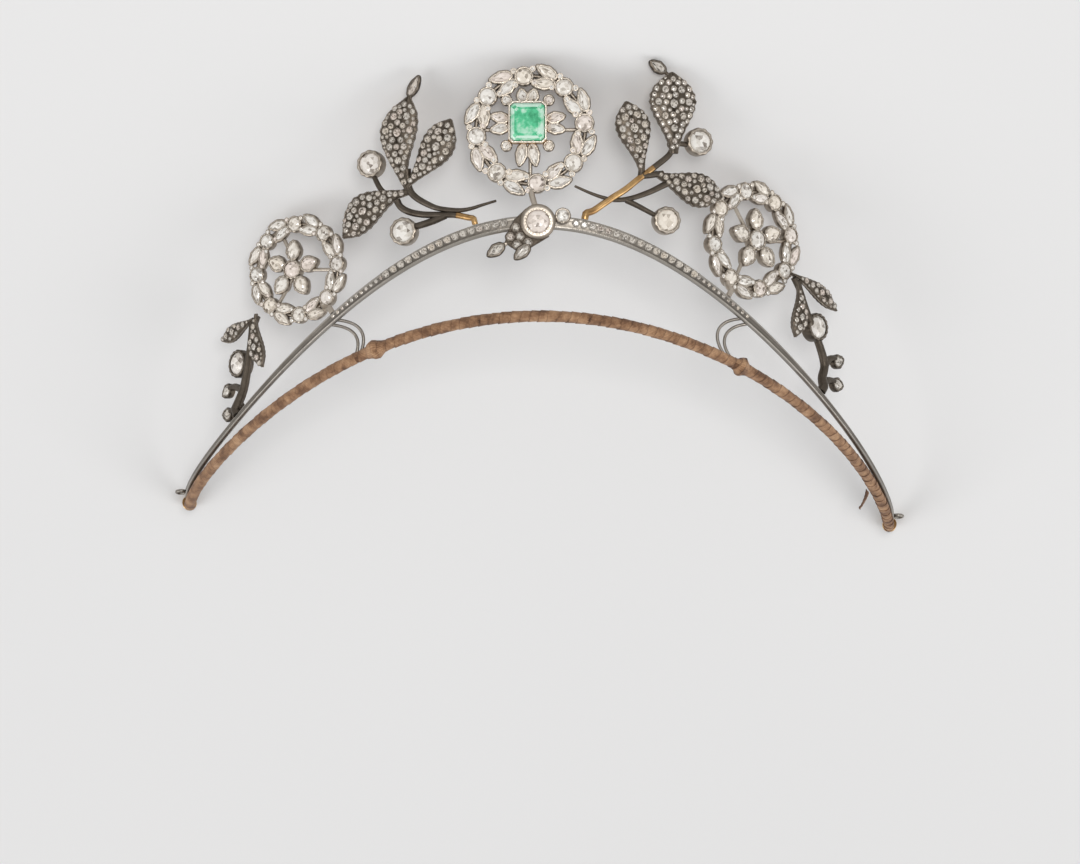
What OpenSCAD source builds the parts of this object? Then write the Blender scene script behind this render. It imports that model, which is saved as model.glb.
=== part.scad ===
// A diadem in a nineteenth-century style: an upper and a lower band, flowers, sprays, cut stones.
// It lies on its back, on the two band ends and on the highest point of its sprays.

/* [Bands] */
// Half of the distance between the two band ends
half_width = 80; // [72:0.5:90]
// Depth of the lower band, from its ends to its front
plan_depth = 65; // [58:0.5:72]
// How far the lower band rises from its ends to its front
low_rise = 44.8; // [40:0.2:50]
// Height between the two bands at the front
front_gap = 20; // [17:0.2:24]
// Height between the two bands beside the ends
side_gap = 2.45; // [2.45:0.05:3]
// How far the upper band stands outside the lower one at the sides
upper_out = 0.5; // [0.5:0.1:1.4]
// How far the upper band stands before the lower one at the front
upper_forward = 2.5; // [2:0.1:3.5]
// Height of the upper band at the front
band_height = 3; // [2.6:0.1:3.4]
// Height of the upper band at its ends
band_end_height = 1.1; // [0.9:0.05:1.2]
// Thickness of the upper band
band_thick = 1.3; // [1.2:0.05:1.6]
// Radius of the lower band's core wire
core_r = 0.7; // [0.5:0.05:0.75]
// Radius of a strut wire
strut_r = 0.36; // [0.3:0.02:0.5]
// Reach of the scroll struts, from the bands to their bend
strut_reach = 9; // [7.5:0.1:10]
// Radius of the cap soldered over each band end
cap_r = 1.6; // [1.5:0.05:1.9]
// How far one band end hangs below the other one, halved
end_skew = 2.5; // [0:0.1:3]

/* [Eyelets] */
// Radius of the hole in each tying eyelet
eyelet_hole_r = 0.75; // [0.6:0.05:0.9]
// Width of the eyelet's rim around its hole
eyelet_rim = 0.6; // [0.45:0.05:0.8]
// Thickness of the eyelet
eyelet_thick = 0.8; // [0.6:0.05:1]

/* [Ribbon] */
// Thickness of the ribbon wound on the lower band
ribbon_wall = 0.4; // [0.32:0.02:0.44]
// How much the ribbon swells where it is bunched beside a strut
bunch_swell = 0.7; // [0.3:0.05:0.9]
// Length of the ribbon's loose tail
tail_length = 4; // [3:0.1:5]

/* [Ornaments] */
// Height above the upper band that the places of all ornaments are shares of
ornament_rise = 36; // [32:0.2:40]
// How many degrees the ornaments lean back
ornament_lean = 5; // [3:0.2:7]
// Length of a large leaf
leaf_length = 15; // [13.5:0.1:16]
// Width of a large leaf
leaf_width = 8.4; // [7.8:0.1:9]
// Thickness of a large leaf in its middle
leaf_thick = 1.9; // [1.7:0.05:2.2]
// Radius of a stem
stem_r = 0.65; // [0.5:0.02:0.8]
// Radius of the wreath of the middle flower, to the middle of its stones
centre_wreath_r = 11.7; // [11.5:0.1:12.4]
// Radius of the wreath of a side flower, to the middle of its stones
side_wreath_r = 10.7; // [10.4:0.1:11]
// Radius of the wire that carries a wreath
wreath_wire_r = 0.5; // [0.4:0.02:0.6]

/* [Stones] */
// Width of the square green stone
emerald_width = 7.4; // [7:0.1:7.8]
// Height of the square green stone
emerald_height = 8.2; // [7.8:0.1:8.6]
// Radius of the large stone on the knot
knot_stone_r = 2.5; // [2.2:0.05:2.7]
// Width of the broad rim round the knot's large stone
knot_rim = 1.15; // [0.8:0.05:1.4]
// Radius of the round stones that stand between the leaves
free_stone_r = 2.35; // [2:0.05:2.5]
// Width of the rim round one of them
free_rim = 0.6; // [0.45:0.05:0.8]
// Radius of the round stones of the middle flower's wreath
centre_stone_r = 1.74; // [1.5:0.02:1.8]
// Radius of the round stones of a side flower's wreath
side_stone_r = 1.56; // [1.4:0.02:1.6]
// Radius of a stone set in a leaf
pave_stone_r = 0.95; // [0.8:0.01:1]
// Radius of a stone in the upper band
band_stone_r = 0.72; // [0.6:0.01:0.74]
// Wall of a collet around its stone
collet_wall = 0.35; // [0.3:0.01:0.4]
// Clearance between a piece and what it sits in or on
gap = 0.12; // [0.1:0.01:0.15]

/* [Hidden] */
$fn = 32;

// Colours
silver = [0.50, 0.49, 0.46];
ribbon_brown = [0.55, 0.42, 0.32];
diamond = [0.90, 0.88, 0.86];
emerald_green = [0.20, 0.66, 0.47];

// The lower band rises as this power of the cosine of its plan angle, the gap as the other one
rise_power = 1.55;
gap_power = 4;
// The upper band's height grows from its ends to the front as this power of the cosine
band_power = 4.5;
// The skew of the ends fades away from them as this power of the sine
skew_power = 9;

// The row of the tallest leaf in the table of large leaves
tallest_leaf = 4;
// Where an end cap's middle lies between the lower band and the upper one
cap_share = 0.42;

// Vectors
function unit(v) = v / norm(v);
function flat(lists) = [for (l = lists) each l];
function mix(a, b, t) = a + (b - a) * t;

// The bands. Angle 0 is the front, 90 the right end and -90 the left end, seen from the front.
// Points are x to the right, y away from the viewer and z up, before the whole is laid down.
function upright(a) = max(cos(a), 0);
function skew(a) = -end_skew * pow(sin(a), skew_power);
function low_height(a) = low_rise * pow(upright(a), rise_power);
function band_gap(a) = side_gap + (front_gap - side_gap) * pow(upright(a), gap_power);
function low_point(a) = [
    half_width * sin(a),
    -plan_depth * cos(a) - skew(a) * tan(rest_tilt),
    low_height(a) + skew(a)
];
function up_point(a, tilt = rest_tilt) = [
    (half_width + upper_out) * sin(a),
    -(plan_depth + upper_forward) * cos(a) - skew(a) * tan(tilt),
    low_height(a) + band_gap(a) + skew(a)
];

// Direction along a band, outward from the head, and across the band upwards
function out_plan(a) = unit([sin(a) * plan_depth, -cos(a) * half_width, 0]);
function low_along(a) = unit(low_point(a + 0.2) - low_point(a - 0.2));
function up_along(a) = unit(up_point(a + 0.2) - up_point(a - 0.2));
function outward(t, a) = unit(out_plan(a) - (out_plan(a) * t) * t);
function band_h(a) = mix(band_end_height, band_height, pow(upright(a), band_power));

// Where an ornament stands: its angle round the head, its rise over the upper band as a share,
// and how far it is set back behind the band
function yaw(a) = atan2(sin(a) * plan_depth, cos(a) * half_width);
function spot(a, rise, back = 0, tilt = rest_tilt) = up_point(a, tilt)
    + [0, tan(ornament_lean) * rise * ornament_rise, rise * ornament_rise]
    - back * out_plan(a);
// Directions on an ornament: to the right and up along it
function orn_x(a) = [cos(yaw(a)), sin(yaw(a)), 0];
function orn_y(a) = [
    -sin(yaw(a)) * sin(ornament_lean), cos(yaw(a)) * sin(ornament_lean), cos(ornament_lean)
];

// The three flowers. Columns: angle, rise share, set back, foot angle on the band, how far round
// the wreath from its lowest point, to the right, the stem starts, turn of the flower's face to
// the right, and size share
centre_spot = [-1.5, 0.56, 2, -0.6, 0, 0, 1];
left_flower = [-42.6, 0.555, 2, -33.4, 40, 10, 0.94];
right_flower = [36.1, 0.547, 2, 29.8, -40, 5, 1];
// Small leaves of a wreath: how far they are drawn to a point and turned, shares of the round
// stone's radius for how far in or out they stand and their half width, and the share of half
// the room between two round settings that is their half length
wreath_leaf_drawn = 0.5;
wreath_leaf_turn = 16;
wreath_leaf_step = 0.76;
wreath_leaf_x = 0.58;
wreath_leaf_share = 0.96;
function wreath_leaf_y(r, count, stone) = (PI * r / count - collet_r(stone)) * wreath_leaf_share;

// Large leaves. Columns: angle, rise share, set back, turn of the tip from upright, shares of
// the leaf's length and width, and its bow to the side as a share of its length
leaf_rows = [
    [-20.6, 0.718, 0, 1, 1.36, 0.98, -0.12],
    [-17.31, 0.593, 0.3, -33.9, 1.15, 0.88, 0.05],
    [-26.27, 0.42, 0.6, 122.4, 1.2, 0.92, 0.13],
    [14.61, 0.64, 0.5, 12, 1.04, 0.9, 0.02],
    [20.86, 0.904, 0, -0.2, 1.185, 1.24, 0],
    [23.6, 0.532, 0.6, -107.9, 1.08, 0.88, 0.02]
];
// Leaves: sections from the neck to the tip. Columns: share of the length, share of the half
// width, share of the thickness
leaf_sections = [
    [0, 0.16, 0.5], [0.16, 0.3, 0.65], [0.33, 0.58, 0.85], [0.5, 0.88, 1],
    [0.66, 1, 1], [0.81, 0.82, 0.9], [0.92, 0.42, 0.65], [1, 0.06, 0.45]
];
// How far a leaf's middle line is bowed to the side at a share of its length
function leaf_bow(row, share) = row[6] * row[4] * leaf_length * 4 * share * (1 - share);
leaf_back = 0.3;
leaf_tip_back = leaf_back * leaf_sections[len(leaf_sections) - 1][2] * leaf_thick;

// Buds: one pointed stone at the top of a spray. Columns: angle, rise share, set back, turn,
// half width and half length of the stone
left_bud = [-19.85, 1.045, 0.2, -27, 0.74, 2.15];
right_bud = [18.5, 1.135, 0.3, 56, 0.85, 1.7];
bud_drawn = 0.5;

// Shares of a cut stone's radius: its table, its crown's height and its depth under the girdle
stone_table = 0.56;
stone_crown = 0.34;
stone_depth = 0.72;
// How far a collet rises beside its stone's crown, as a share of the crown's height
collet_lip = 0.4;
long_lip = 0.3;
// Shares by which a long stone's setting is widened and made less deep than a round one's
long_grow = 1.22;
long_less = 0.94;
// Depth of a collet under its stone's girdle, for a round stone and a long one
function collet_depth(r) = stone_depth * r + 2 * gap + collet_wall;
function long_depth(r) = collet_depth(r) * long_less;

// Outline of a long stone, widened by a length
function long_outline(rx, ry, drawn, grow) = [
    for (i = [0 : 7])
        let (a = 22.5 + 45 * i, s = sin(a))
            [
                rx * cos(a) * (1 - drawn * max(s, 0)) + grow * cos(a),
                ry * s + grow * s
            ]
];

// Directions up and across on a leaf or bud
function leaf_up(row) = -sin(row[3]) * orn_x(row[0]) + cos(row[3]) * orn_y(row[0]);
function leaf_across(row) = cos(row[3]) * orn_x(row[0]) + sin(row[3]) * orn_y(row[0]);

// The eyelets. Columns: side, angle of the eyelet on the band
eyelet_rows = [[-1, 83.5], [1, 86]];
eyelet_out = eyelet_hole_r + eyelet_rim;
// Share of the rim that is sunk in the band
eyelet_sunk = 0.7;
function eyelet_place(s) =
    let (a = s[0] * s[1], t = up_along(a))
        up_point(a) + outward(t, a) * (band_thick / 2 + eyelet_out - eyelet_rim * eyelet_sunk);
// How far an eyelet reaches sideways from the middle of the head
function eyelet_reach(side) = max([
    for (s = eyelet_rows) if (s[0] == side) abs(eyelet_place(s)[0]) + eyelet_out
]);

// The points that may touch the floor: the back of the tallest leaf's tip and of the buds.
// The skew of the ends does not reach them, so they are worked out with no tilt.
function leaf_tip(row) = spot(row[0], row[1], row[2] + leaf_tip_back, 0)
    + leaf_up(row) * row[4] * leaf_length / 2;
function bud_corners(row) = [
    for (q = long_outline(row[4], row[5], bud_drawn, (gap + collet_wall) * long_grow))
        spot(row[0], row[1], row[2] + long_depth(row[4]), 0)
            + q[0] * leaf_across(row) + q[1] * leaf_up(row)
];
tips = concat([leaf_tip(leaf_rows[tallest_leaf])], bud_corners(right_bud), bud_corners(left_bud));

// The pose at rest: both end caps and the lowest of those points touch the floor
function tilt_at(p, lift) = atan2(-p[1], p[2]) + asin(lift / norm([p[1], p[2]]));
cap_up = side_gap * cap_share;
cap_lift = cap_r + cap_up * sin(tilt_at(tips[0], cap_r));
rest_tilt = min([for (p = tips) tilt_at(p, cap_lift)]);
centre_top = spot(centre_spot[0], centre_spot[1], centre_spot[2], 0) + orn_y(centre_spot[0])
    * (centre_wreath_r + (wreath_leaf_step + wreath_leaf_x) * centre_stone_r + gap + collet_wall);
function laid_y(p) = p[1] * sin(rest_tilt) - p[2] * cos(rest_tilt);
end_y = end_skew / cos(rest_tilt) + cap_r - cap_up * cos(rest_tilt);
rest_shift = [
    (eyelet_reach(1) - eyelet_reach(-1)) / 2,
    -(min([for (p = concat(tips, [centre_top])) laid_y(p)]) + end_y) / 2,
    cap_lift
];

module at_rest() {
    translate(rest_shift)
        rotate([0, 0, 180])
            rotate([-90 - rest_tilt, 0, 0])
                children();
}

// Puts a piece on an ornament's plane, its z outward and its y up
module on_ornament(a, rise, back = 0) {
    translate(spot(a, rise, back))
        rotate([90 - ornament_lean, 0, yaw(a)])
            children();
}

// Skins a list of rings, each a list of as many points, and closes both ends
module skin(rings) {
    m = len(rings[0]);
    n = len(rings);
    points = flat(rings);
    sides = [
        for (i = [0 : n - 2], j = [0 : m - 1])
            [i * m + j, i * m + (j + 1) % m, (i + 1) * m + (j + 1) % m, (i + 1) * m + j]
    ];
    halves = flat([for (q = sides) [[q[0], q[1], q[2]], [q[0], q[2], q[3]]]]);
    first = [for (j = [m - 1 : -1 : 0]) j];
    last = [for (j = [0 : m - 1]) (n - 1) * m + j];
    polyhedron(points, concat(halves, [first], [last]));
}

// Skins two lists of rings into a tube with a wall, open at both ends
module tube_skin(outer, inner) {
    m = len(outer[0]);
    n = len(outer);
    points = concat(flat(outer), flat(inner));
    k = n * m;
    out_sides = [
        for (i = [0 : n - 2], j = [0 : m - 1])
            [i * m + j, i * m + (j + 1) % m, (i + 1) * m + (j + 1) % m, (i + 1) * m + j]
    ];
    in_sides = [for (q = out_sides) [k + q[3], k + q[2], k + q[1], k + q[0]]];
    first = [for (j = [0 : m - 1]) [k + j, k + (j + 1) % m, (j + 1) % m, j]];
    z = (n - 1) * m;
    last = [for (j = [0 : m - 1]) [z + j, z + (j + 1) % m, k + z + (j + 1) % m, k + z + j]];
    quads = concat(out_sides, in_sides, first, last);
    polyhedron(points, flat([for (q = quads) [[q[0], q[1], q[2]], [q[0], q[2], q[3]]]]));
}

// A ring of m points around point p, in the plane of u and v
function round_ring(p, u, v, r, m) = [
    for (j = [0 : m - 1]) p + r * (cos(360 * j / m) * u + sin(360 * j / m) * v)
];
function low_ring(a, r, m) =
    let (t = low_along(a), o = outward(t, a))
        round_ring(low_point(a), o, cross(o, t), r, m);

// The upper band's section. Columns: share of the thickness outward, share of the height upward.
band_section = [
    [-0.3, -0.5], [0.26, -0.5], [0.5, -0.28], [0.5, 0.36],
    [0.36, 0.5], [-0.3, 0.5], [-0.5, 0.34], [-0.5, -0.34]
];
function up_ring(a) =
    let (t = up_along(a), o = outward(t, a), b = cross(o, t))
        [for (s = band_section) up_point(a) + s[0] * band_thick * o + s[1] * band_h(a) * b];

function steps(from, to, n) = [for (i = [0 : n]) mix(from, to, i / n)];
function bezier(p, t) = pow(1 - t, 3) * p[0] + 3 * pow(1 - t, 2) * t * p[1]
    + 3 * (1 - t) * t * t * p[2] + pow(t, 3) * p[3];

// A wire of m sides along a list of points, its radius going from r0 to r1
module wire(path, r0, r1, m, side) {
    n = len(path) - 1;
    skin([
        for (i = [0 : n])
            let (
                t = unit(path[min(i + 1, n)] - path[max(i - 1, 0)]),
                u = unit(side - (side * t) * t)
            )
                round_ring(path[i], u, cross(u, t), mix(r0, r1, i / n), m)
    ]);
}

// Points on a smooth line through a list of points
function spline(p, parts = 3) = let (n = len(p) - 1) concat(
    [
        for (i = [0 : n - 1], k = [0 : parts - 1])
            let (
                a = p[max(i - 1, 0)], b = p[i], c = p[i + 1], d = p[min(i + 2, n)], t = k / parts
            )
                0.5 * (2 * b + (c - a) * t + (2 * a - 5 * b + 4 * c - d) * t * t
                    + (3 * b - a - 3 * c + d) * pow(t, 3))
    ],
    [p[n]]
);

// A cut stone with its girdle at height 0: table, eight crown facets, eight pavilion facets.
// The share named drawn narrows its upper end to a point, as on a pear or a navette.
function stone_ring(rx, ry, drawn, z, share) = [
    for (i = [0 : 7])
        let (a = 22.5 + 45 * i, s = sin(a))
            [share * rx * cos(a) * (1 - drawn * max(s, 0)), share * ry * s, z]
];
module cut_stone(rx, ry, drawn = 0) {
    low = min(rx, ry);
    points = concat(
        stone_ring(rx, ry, drawn, stone_crown * low, stone_table),
        stone_ring(rx, ry, drawn, 0, 1),
        [[0, 0, -stone_depth * low]]
    );
    polyhedron(points, concat(
        [[for (i = [7 : -1 : 0]) i]],
        [for (i = [0 : 7]) [i, (i + 1) % 8, 8 + (i + 1) % 8, 8 + i]],
        [for (i = [0 : 7]) [8 + i, 8 + (i + 1) % 8, 16]]
    ));
}

// A closed collet for a round stone whose girdle is at height 0
function collet_r(r, wall = collet_wall) = r + gap + wall;
module collet(r, wall = collet_wall) {
    translate([0, 0, -collet_depth(r)])
        cylinder(r = collet_r(r, wall), h = collet_depth(r) + stone_crown * r * collet_lip);
}
module seat(r) {
    translate([0, 0, -stone_depth * r - gap])
        cylinder(r = r + gap, h = 2 * r);
}

// A closed collet for a long stone, a prism on the stone's own outline
module long_collet(rx, ry, drawn) {
    r = min(rx, ry);
    h = long_depth(r);
    translate([0, 0, -h])
        linear_extrude(h + stone_crown * r * long_lip)
            polygon(long_outline(rx, ry, drawn, (gap + collet_wall) * long_grow));
}
module long_seat(rx, ry, drawn) {
    r = min(rx, ry);
    translate([0, 0, -stone_depth * r - gap])
        linear_extrude(2 * r)
            polygon(long_outline(rx, ry, drawn, gap * long_grow));
}

// Heights of a leaf's edge and of its flat top, as shares of its thickness
leaf_edge = 0.05;
leaf_crest = 0.52;
function leaf_ring(row, s) =
    let (
        y = (s[0] - 0.5) * row[4] * leaf_length,
        x = s[1] * row[5] * leaf_width / 2,
        h = s[2] * leaf_thick,
        m = leaf_bow(row, s[0])
    )
        [[m + x, y, -leaf_back * h], [m + x, y, leaf_edge * h], [m + 0.5 * x, y, leaf_crest * h],
         [m - 0.5 * x, y, leaf_crest * h], [m - x, y, leaf_edge * h], [m - x, y, -leaf_back * h]];
module leaf_body(row) {
    skin([for (s = leaf_sections) leaf_ring(row, s)]);
}

// Stones of a large leaf and of a sprig's leaf. Columns: share of the length, share of the half
// width to the side, share of the stone's radius
leaf_stones = [
    [0.15, 0, 0.6], [0.31, 0, 0.8], [0.46, -0.38, 0.8], [0.46, 0.38, 0.8], [0.61, 0, 1.1],
    [0.63, -0.66, 0.8], [0.63, 0.66, 0.8], [0.78, -0.34, 0.85], [0.78, 0.34, 0.85], [0.91, 0, 0.6]
];
sprig_leaf_stones = [[0.4, 0, 0.7], [0.6, 0, 0.9], [0.8, 0, 0.75]];
leaf_stone_height = 0.42;
module on_leaf(row) {
    on_ornament(row[0], row[1], row[2])
        rotate([0, 0, row[3]])
            children();
}
module each_leaf_stone(row, stones) {
    for (s = stones)
        translate([
            leaf_bow(row, s[0]) + s[1] * row[5] * leaf_width / 2,
            (s[0] - 0.5) * row[4] * leaf_length,
            leaf_stone_height * leaf_thick
        ])
            if ($seats) {
                translate([0, 0, -stone_depth * s[2] * pave_stone_r - gap])
                    cylinder(r = s[2] * pave_stone_r + gap, h = 2 * leaf_thick);
            } else {
                cut_stone(s[2] * pave_stone_r, s[2] * pave_stone_r);
            }
}

// Round stones that stand free between the leaves. Columns: angle, rise share, set back
left_upper = [-27.3, 0.757, 0.2];
left_lower = [-21.4, 0.205, -0.4];
right_upper = [25.5, 0.844, 0.2];
right_lower = [19.8, 0.236, -0.4];

// A foot stands square on the upper band's top edge, with the clearance under it
foot_rise = 1.4;
function band_foot(a, rise) =
    let (t = up_along(a), b = cross(outward(t, a), t))
        up_point(a) + (band_h(a) / 2 + gap + rise) * b;

// Stems of the two sprays. Columns: share of the stem's radius where it starts and where it ends,
// then its points, each with angle, rise share and set back. A point with an angle alone is a foot
// on the upper band there.
function stem_points(rows) = [
    for (s = rows) len(s) == 1 ? band_foot(s[0], foot_rise) : spot(s[0], s[1], s[2])
];
function stem_path(rows) = concat(
    len(rows[0]) == 1 ? [band_foot(rows[0][0], 0)] : [],
    spline(stem_points(rows))
);
left_stems = [
    [0.4, 1.5, [[-6.7, 0.156, 0.2], [-8.9, 0.151, 0.3], [-10.7, 0.15, 0.3], [-12.6, 0.166, 0.3],
        [-15.5, 0.222, 0.4], [-17.2, 0.274, 0.5], [-19.4, 0.363, 0.6], [-20.6, 0.44, 0.6],
        [-20.9, 0.52, 0.5], [-21, 0.57, 0.4]]],
    [1, 1.2, [[-9.6], [-11.2, 0.105, 0.3], [-13.2, 0.148, 0.5], [-15.5, 0.186, 0.6],
        [-18.3, 0.24, 0.7], [-20.6, 0.304, 0.9], [-22.1, 0.368, 0.9], [-22.7, 0.42, 0.8]]],
    [1.2, 1, [[-20.2, 0.42, 0.7], [-21, 0.44, 0.8], [-22.3, 0.45, 0.8]]],
    [1, 0.8, [[-24, 0.47, 1.1], [-25.6, 0.56, 1.1], [-26.6, 0.65, 1], [-27.1, 0.71, 0.9]]],
    [1.3, 1.1, [[-14.7, 0.17, 0.7], [-16.7, 0.172, 0.8], [-18.5, 0.183, 0.6], [-20, 0.2, 0.5]]],
    [0.7, 0.6, [[-20.8, 0.95, 0.5], [-20.5, 0.985, 0.5], [-20.1, 1.01, 0.6]]]
];
right_stems = [
    [0.4, 1.2, [[5.3, 0.234, 0.2], [7.6, 0.212, 0.3], [9.7, 0.205, 0.4], [11.6, 0.214, 0.6],
        [14.2, 0.264, 1], [17.1, 0.351, 1], [19.2, 0.43, 0.9], [20.5, 0.48, 0.8]]],
    [1.2, 1, [[6.6], [8.2, 0.11, 0.4], [9.7, 0.165, 0.5], [11.3, 0.226, 0.5],
        [13.3, 0.303, 0.5], [15.5, 0.405, 0.7], [18.2, 0.53, 0.8], [20.6, 0.66, 0.6],
        [20.9, 0.76, 0.5]]],
    [1, 1, [[15.6, 0.4, 0.8], [15.8, 0.46, 0.8], [15.5, 0.52, 0.7]]],
    [1.2, 1, [[16, 0.43, 0.8], [17.8, 0.47, 0.8], [19.4, 0.51, 0.8]]],
    [1, 0.8, [[20.3, 0.7, 0.8], [21.8, 0.745, 1.1], [23.6, 0.78, 1.1], [25, 0.82, 0.9]]],
    [1, 0.8, [[13.4, 0.24, 1], [15.6, 0.235, 0.9], [18.4, 0.23, 0.6]]],
    [0.7, 0.6, [[20.7, 1.09, 0.5], [20.1, 1.12, 0.5], [19.4, 1.13, 0.7]]]
];
module stems(rows) {
    for (s = rows)
        wire(stem_path(s[2]), stem_r * s[0], stem_r * s[1], wire_sides, out_plan(s[2][0][0]));
}

// The pieces. Frame: upper band, core wire, struts and end caps, soldered into one
band_last = 88.8;
core_sides = 6;
wire_sides = 6;
core_stations = steps(-band_last, band_last, 56);
// Scroll struts. Columns: side, angle on the upper band, angle on the lower band, then shares
// of the reach: first bend inward and up, second bend inward and up
strut_rows = [
    [-1, 34, 29.3, 0.8, -0.02, 0.22, 0.46],
    [-1, 35, 30.2, 0.78, -0.04, 0.2, 0.42],
    [1, 33.7, 30.7, 0.84, 0, 0.42, 0.5],
    [1, 34.8, 32.3, 0.82, -0.03, 0.46, 0.42]
];
function strut_path(s) =
    let (
        top = up_point(s[0] * s[1]),
        foot = low_point(s[0] * s[2]),
        first = top + strut_reach * [-s[0] * s[3], 0, s[4]],
        second = foot + strut_reach * [-s[0] * s[5], 0, s[6]]
    )
        [for (t = [0 : 0.125 : 1]) bezier([top, first, second, foot], t)];

module place_eyelet(s) {
    a = s[0] * s[1];
    b = cross(outward(up_along(a), a), up_along(a));
    translate(eyelet_place(s))
        rotate([0, acos(b[2]), atan2(b[1], b[0])])
            children();
}
// Length of an end cap's sleeve as a share of its radius
cap_sleeve = 1.7;
module end_cap(side) {
    a = side * 90;
    low = low_point(a);
    t = side * unit(low_point(a) - low_point(a - side * 3));
    middle = mix(low, up_point(a), cap_share);
    translate(middle)
        sphere(r = cap_r);
    translate(middle)
        rotate([0, acos(-side * t[2]), atan2(-side * t[1], -side * t[0])])
            cylinder(r = cap_r, h = cap_r * cap_sleeve);
}
module frame() {
    color(silver)
        at_rest()
            difference() {
                union() {
                    skin([for (a = steps(-band_last, band_last, 54)) up_ring(a)]);
                    skin([for (a = core_stations) low_ring(a, core_r, core_sides)]);
                    for (s = strut_rows)
                        wire(strut_path(s), strut_r, strut_r, wire_sides, [0, 1, 0]);
                    for (side = [-1, 1])
                        end_cap(side);
                    for (s = eyelet_rows)
                        place_eyelet(s)
                            cylinder(r = eyelet_out, h = eyelet_thick, center = true);
                }
                for (s = eyelet_rows)
                    place_eyelet(s)
                        cylinder(r = eyelet_hole_r, h = eyelet_thick * 3, center = true);
                band_seats();
            }
}

// The row of small stones in the middle part of the upper band, clear of the knot
band_row_from = 5.4;
band_row_to = 24;
band_pitch = band_stone_r * 2 + gap * 1.6;
// How far above the band's middle the row stands, as a share of the band's height
band_row_up = 0.14;
band_count = floor(
    (half_width + upper_out) * (sin(band_row_to) - sin(band_row_from)) / band_pitch
);
module band_places(side) {
    for (a = steps(band_row_from, band_row_to, band_count)) {
        b = side * a;
        t = up_along(b);
        o = outward(t, b);
        u = cross(o, t);
        translate(up_point(b) + o * (band_thick / 2 + gap / 2) + u * band_h(b) * band_row_up)
            rotate([0, acos(o[2]), atan2(o[1], o[0])])
                children();
    }
}
module band_seats() {
    for (side = [-1, 1])
        band_places(side)
            translate([0, 0, -stone_depth * band_stone_r - gap - gap])
                cylinder(r = band_stone_r + gap, h = band_thick);
}
module band_stones(side) {
    color(diamond)
        at_rest()
            band_places(side)
                cut_stone(band_stone_r, band_stone_r);
}

// Ribbon, wound in three lengths that meet between the struts' feet, open where a strut comes out
ribbon_end = core_stations[len(core_stations) - 2];
ribbon_sides = 8;
ribbon_in = (core_r + gap * 1.2) / cos(180 / ribbon_sides);
ribbon_r = ribbon_in + ribbon_wall;
// Where the ribbon is bunched. Columns: angle on the lower band, angle over which it fades
bunches = [[-26.4, 1], [33, 0.7]];
function swell(a, row) = 1 + bunch_swell * exp(-pow((a - row[0]) / row[1], 2));
function ribbon_swell(a) = swell(a, bunches[0]) * swell(a, bunches[1]);
strut_feet = [for (s = strut_rows) s[0] * s[2]];
left_joint = (strut_feet[0] + strut_feet[1]) / 2;
right_joint = (strut_feet[2] + strut_feet[3]) / 2;
joint_clear = gap / 2 / norm(low_point(left_joint + 0.5) - low_point(left_joint - 0.5));
module ribbon(from, to, sides = [-1, 1]) {
    path = concat([from], [for (a = core_stations) if (a > from + 1 && a < to - 1) a], [to]);
    color(ribbon_brown)
        at_rest()
            difference() {
                tube_skin(
                    [for (a = path) low_ring(a, ribbon_r * ribbon_swell(a), ribbon_sides)],
                    [for (a = path) low_ring(a, ribbon_in, ribbon_sides)]
                );
                for (s = strut_rows, side = sides)
                    if (s[0] == side)
                        wire(strut_path(s), strut_r + gap, strut_r + gap, wire_sides, [0, 1, 0]);
            }
}
module ribbon_left() {
    ribbon(-ribbon_end, left_joint - joint_clear, [-1]);
}
module ribbon_middle() {
    ribbon(left_joint + joint_clear, right_joint - joint_clear);
}
module ribbon_right() {
    ribbon(right_joint + joint_clear, ribbon_end, [1]);
}

// The ribbon's loose tail, a flat strip off the lower band near its right end
tail_angle = 70;
tail_width = 1.7;
tail_thick = 0.5;
// How far under the lower band's middle it starts
tail_low = 0.4;
// Shares of its length by which it curls in and leans, and the share that its width loses
tail_curl = 0.35;
tail_lean = 0.2;
tail_taper = 0.55;
module ribbon_tail() {
    t = low_along(tail_angle);
    o = outward(t, tail_angle);
    u = cross(o, t);
    root = low_point(tail_angle) - o * (ribbon_r + gap + tail_thick / 2) - u * tail_low;
    color(ribbon_brown)
        at_rest()
            skin([
                for (s = [0 : 0.25 : 1])
                    let (
                        p = root - u * tail_length * s - o * s * s * tail_length * tail_curl
                            + t * s * tail_length * tail_lean,
                        w = tail_width * (1 - tail_taper * s) / 2,
                        h = tail_thick / 2
                    )
                        [p - w * t - h * o, p - w * t + h * o, p + w * t + h * o, p + w * t - h * o]
            ]);
}

// Flowers. Round stones and pairs of small leaves take turns on a ring of wire
module wreath_round_places(r, count) {
    for (i = [0 : count - 1])
        rotate([0, 0, 360 * i / count + wreath_phase])
            translate([r, 0, 0])
                children();
}
module wreath_leaf_places(r, count, stone) {
    for (i = [0 : count - 1], side = [-1, 1])
        rotate([0, 0, 360 * (i + 0.5) / count + wreath_phase])
            translate([r + side * wreath_leaf_step * stone, 0, 0])
                rotate([0, 0, -side * wreath_leaf_turn])
                    children();
}
wreath_drop = 0.75;
wreath_phase = 7;
module wreath_metal(r, count, stone) {
    translate([0, 0, -wreath_drop])
        rotate_extrude()
            translate([r, 0])
                circle(wreath_wire_r);
    wreath_round_places(r, count)
        collet(stone);
    wreath_leaf_places(r, count, stone)
        long_collet(wreath_leaf_x * stone, wreath_leaf_y(r, count, stone), wreath_leaf_drawn);
}
module wreath_seats(r, count, stone) {
    wreath_round_places(r, count)
        seat(stone);
    wreath_leaf_places(r, count, stone)
        long_seat(wreath_leaf_x * stone, wreath_leaf_y(r, count, stone), wreath_leaf_drawn);
}
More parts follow.
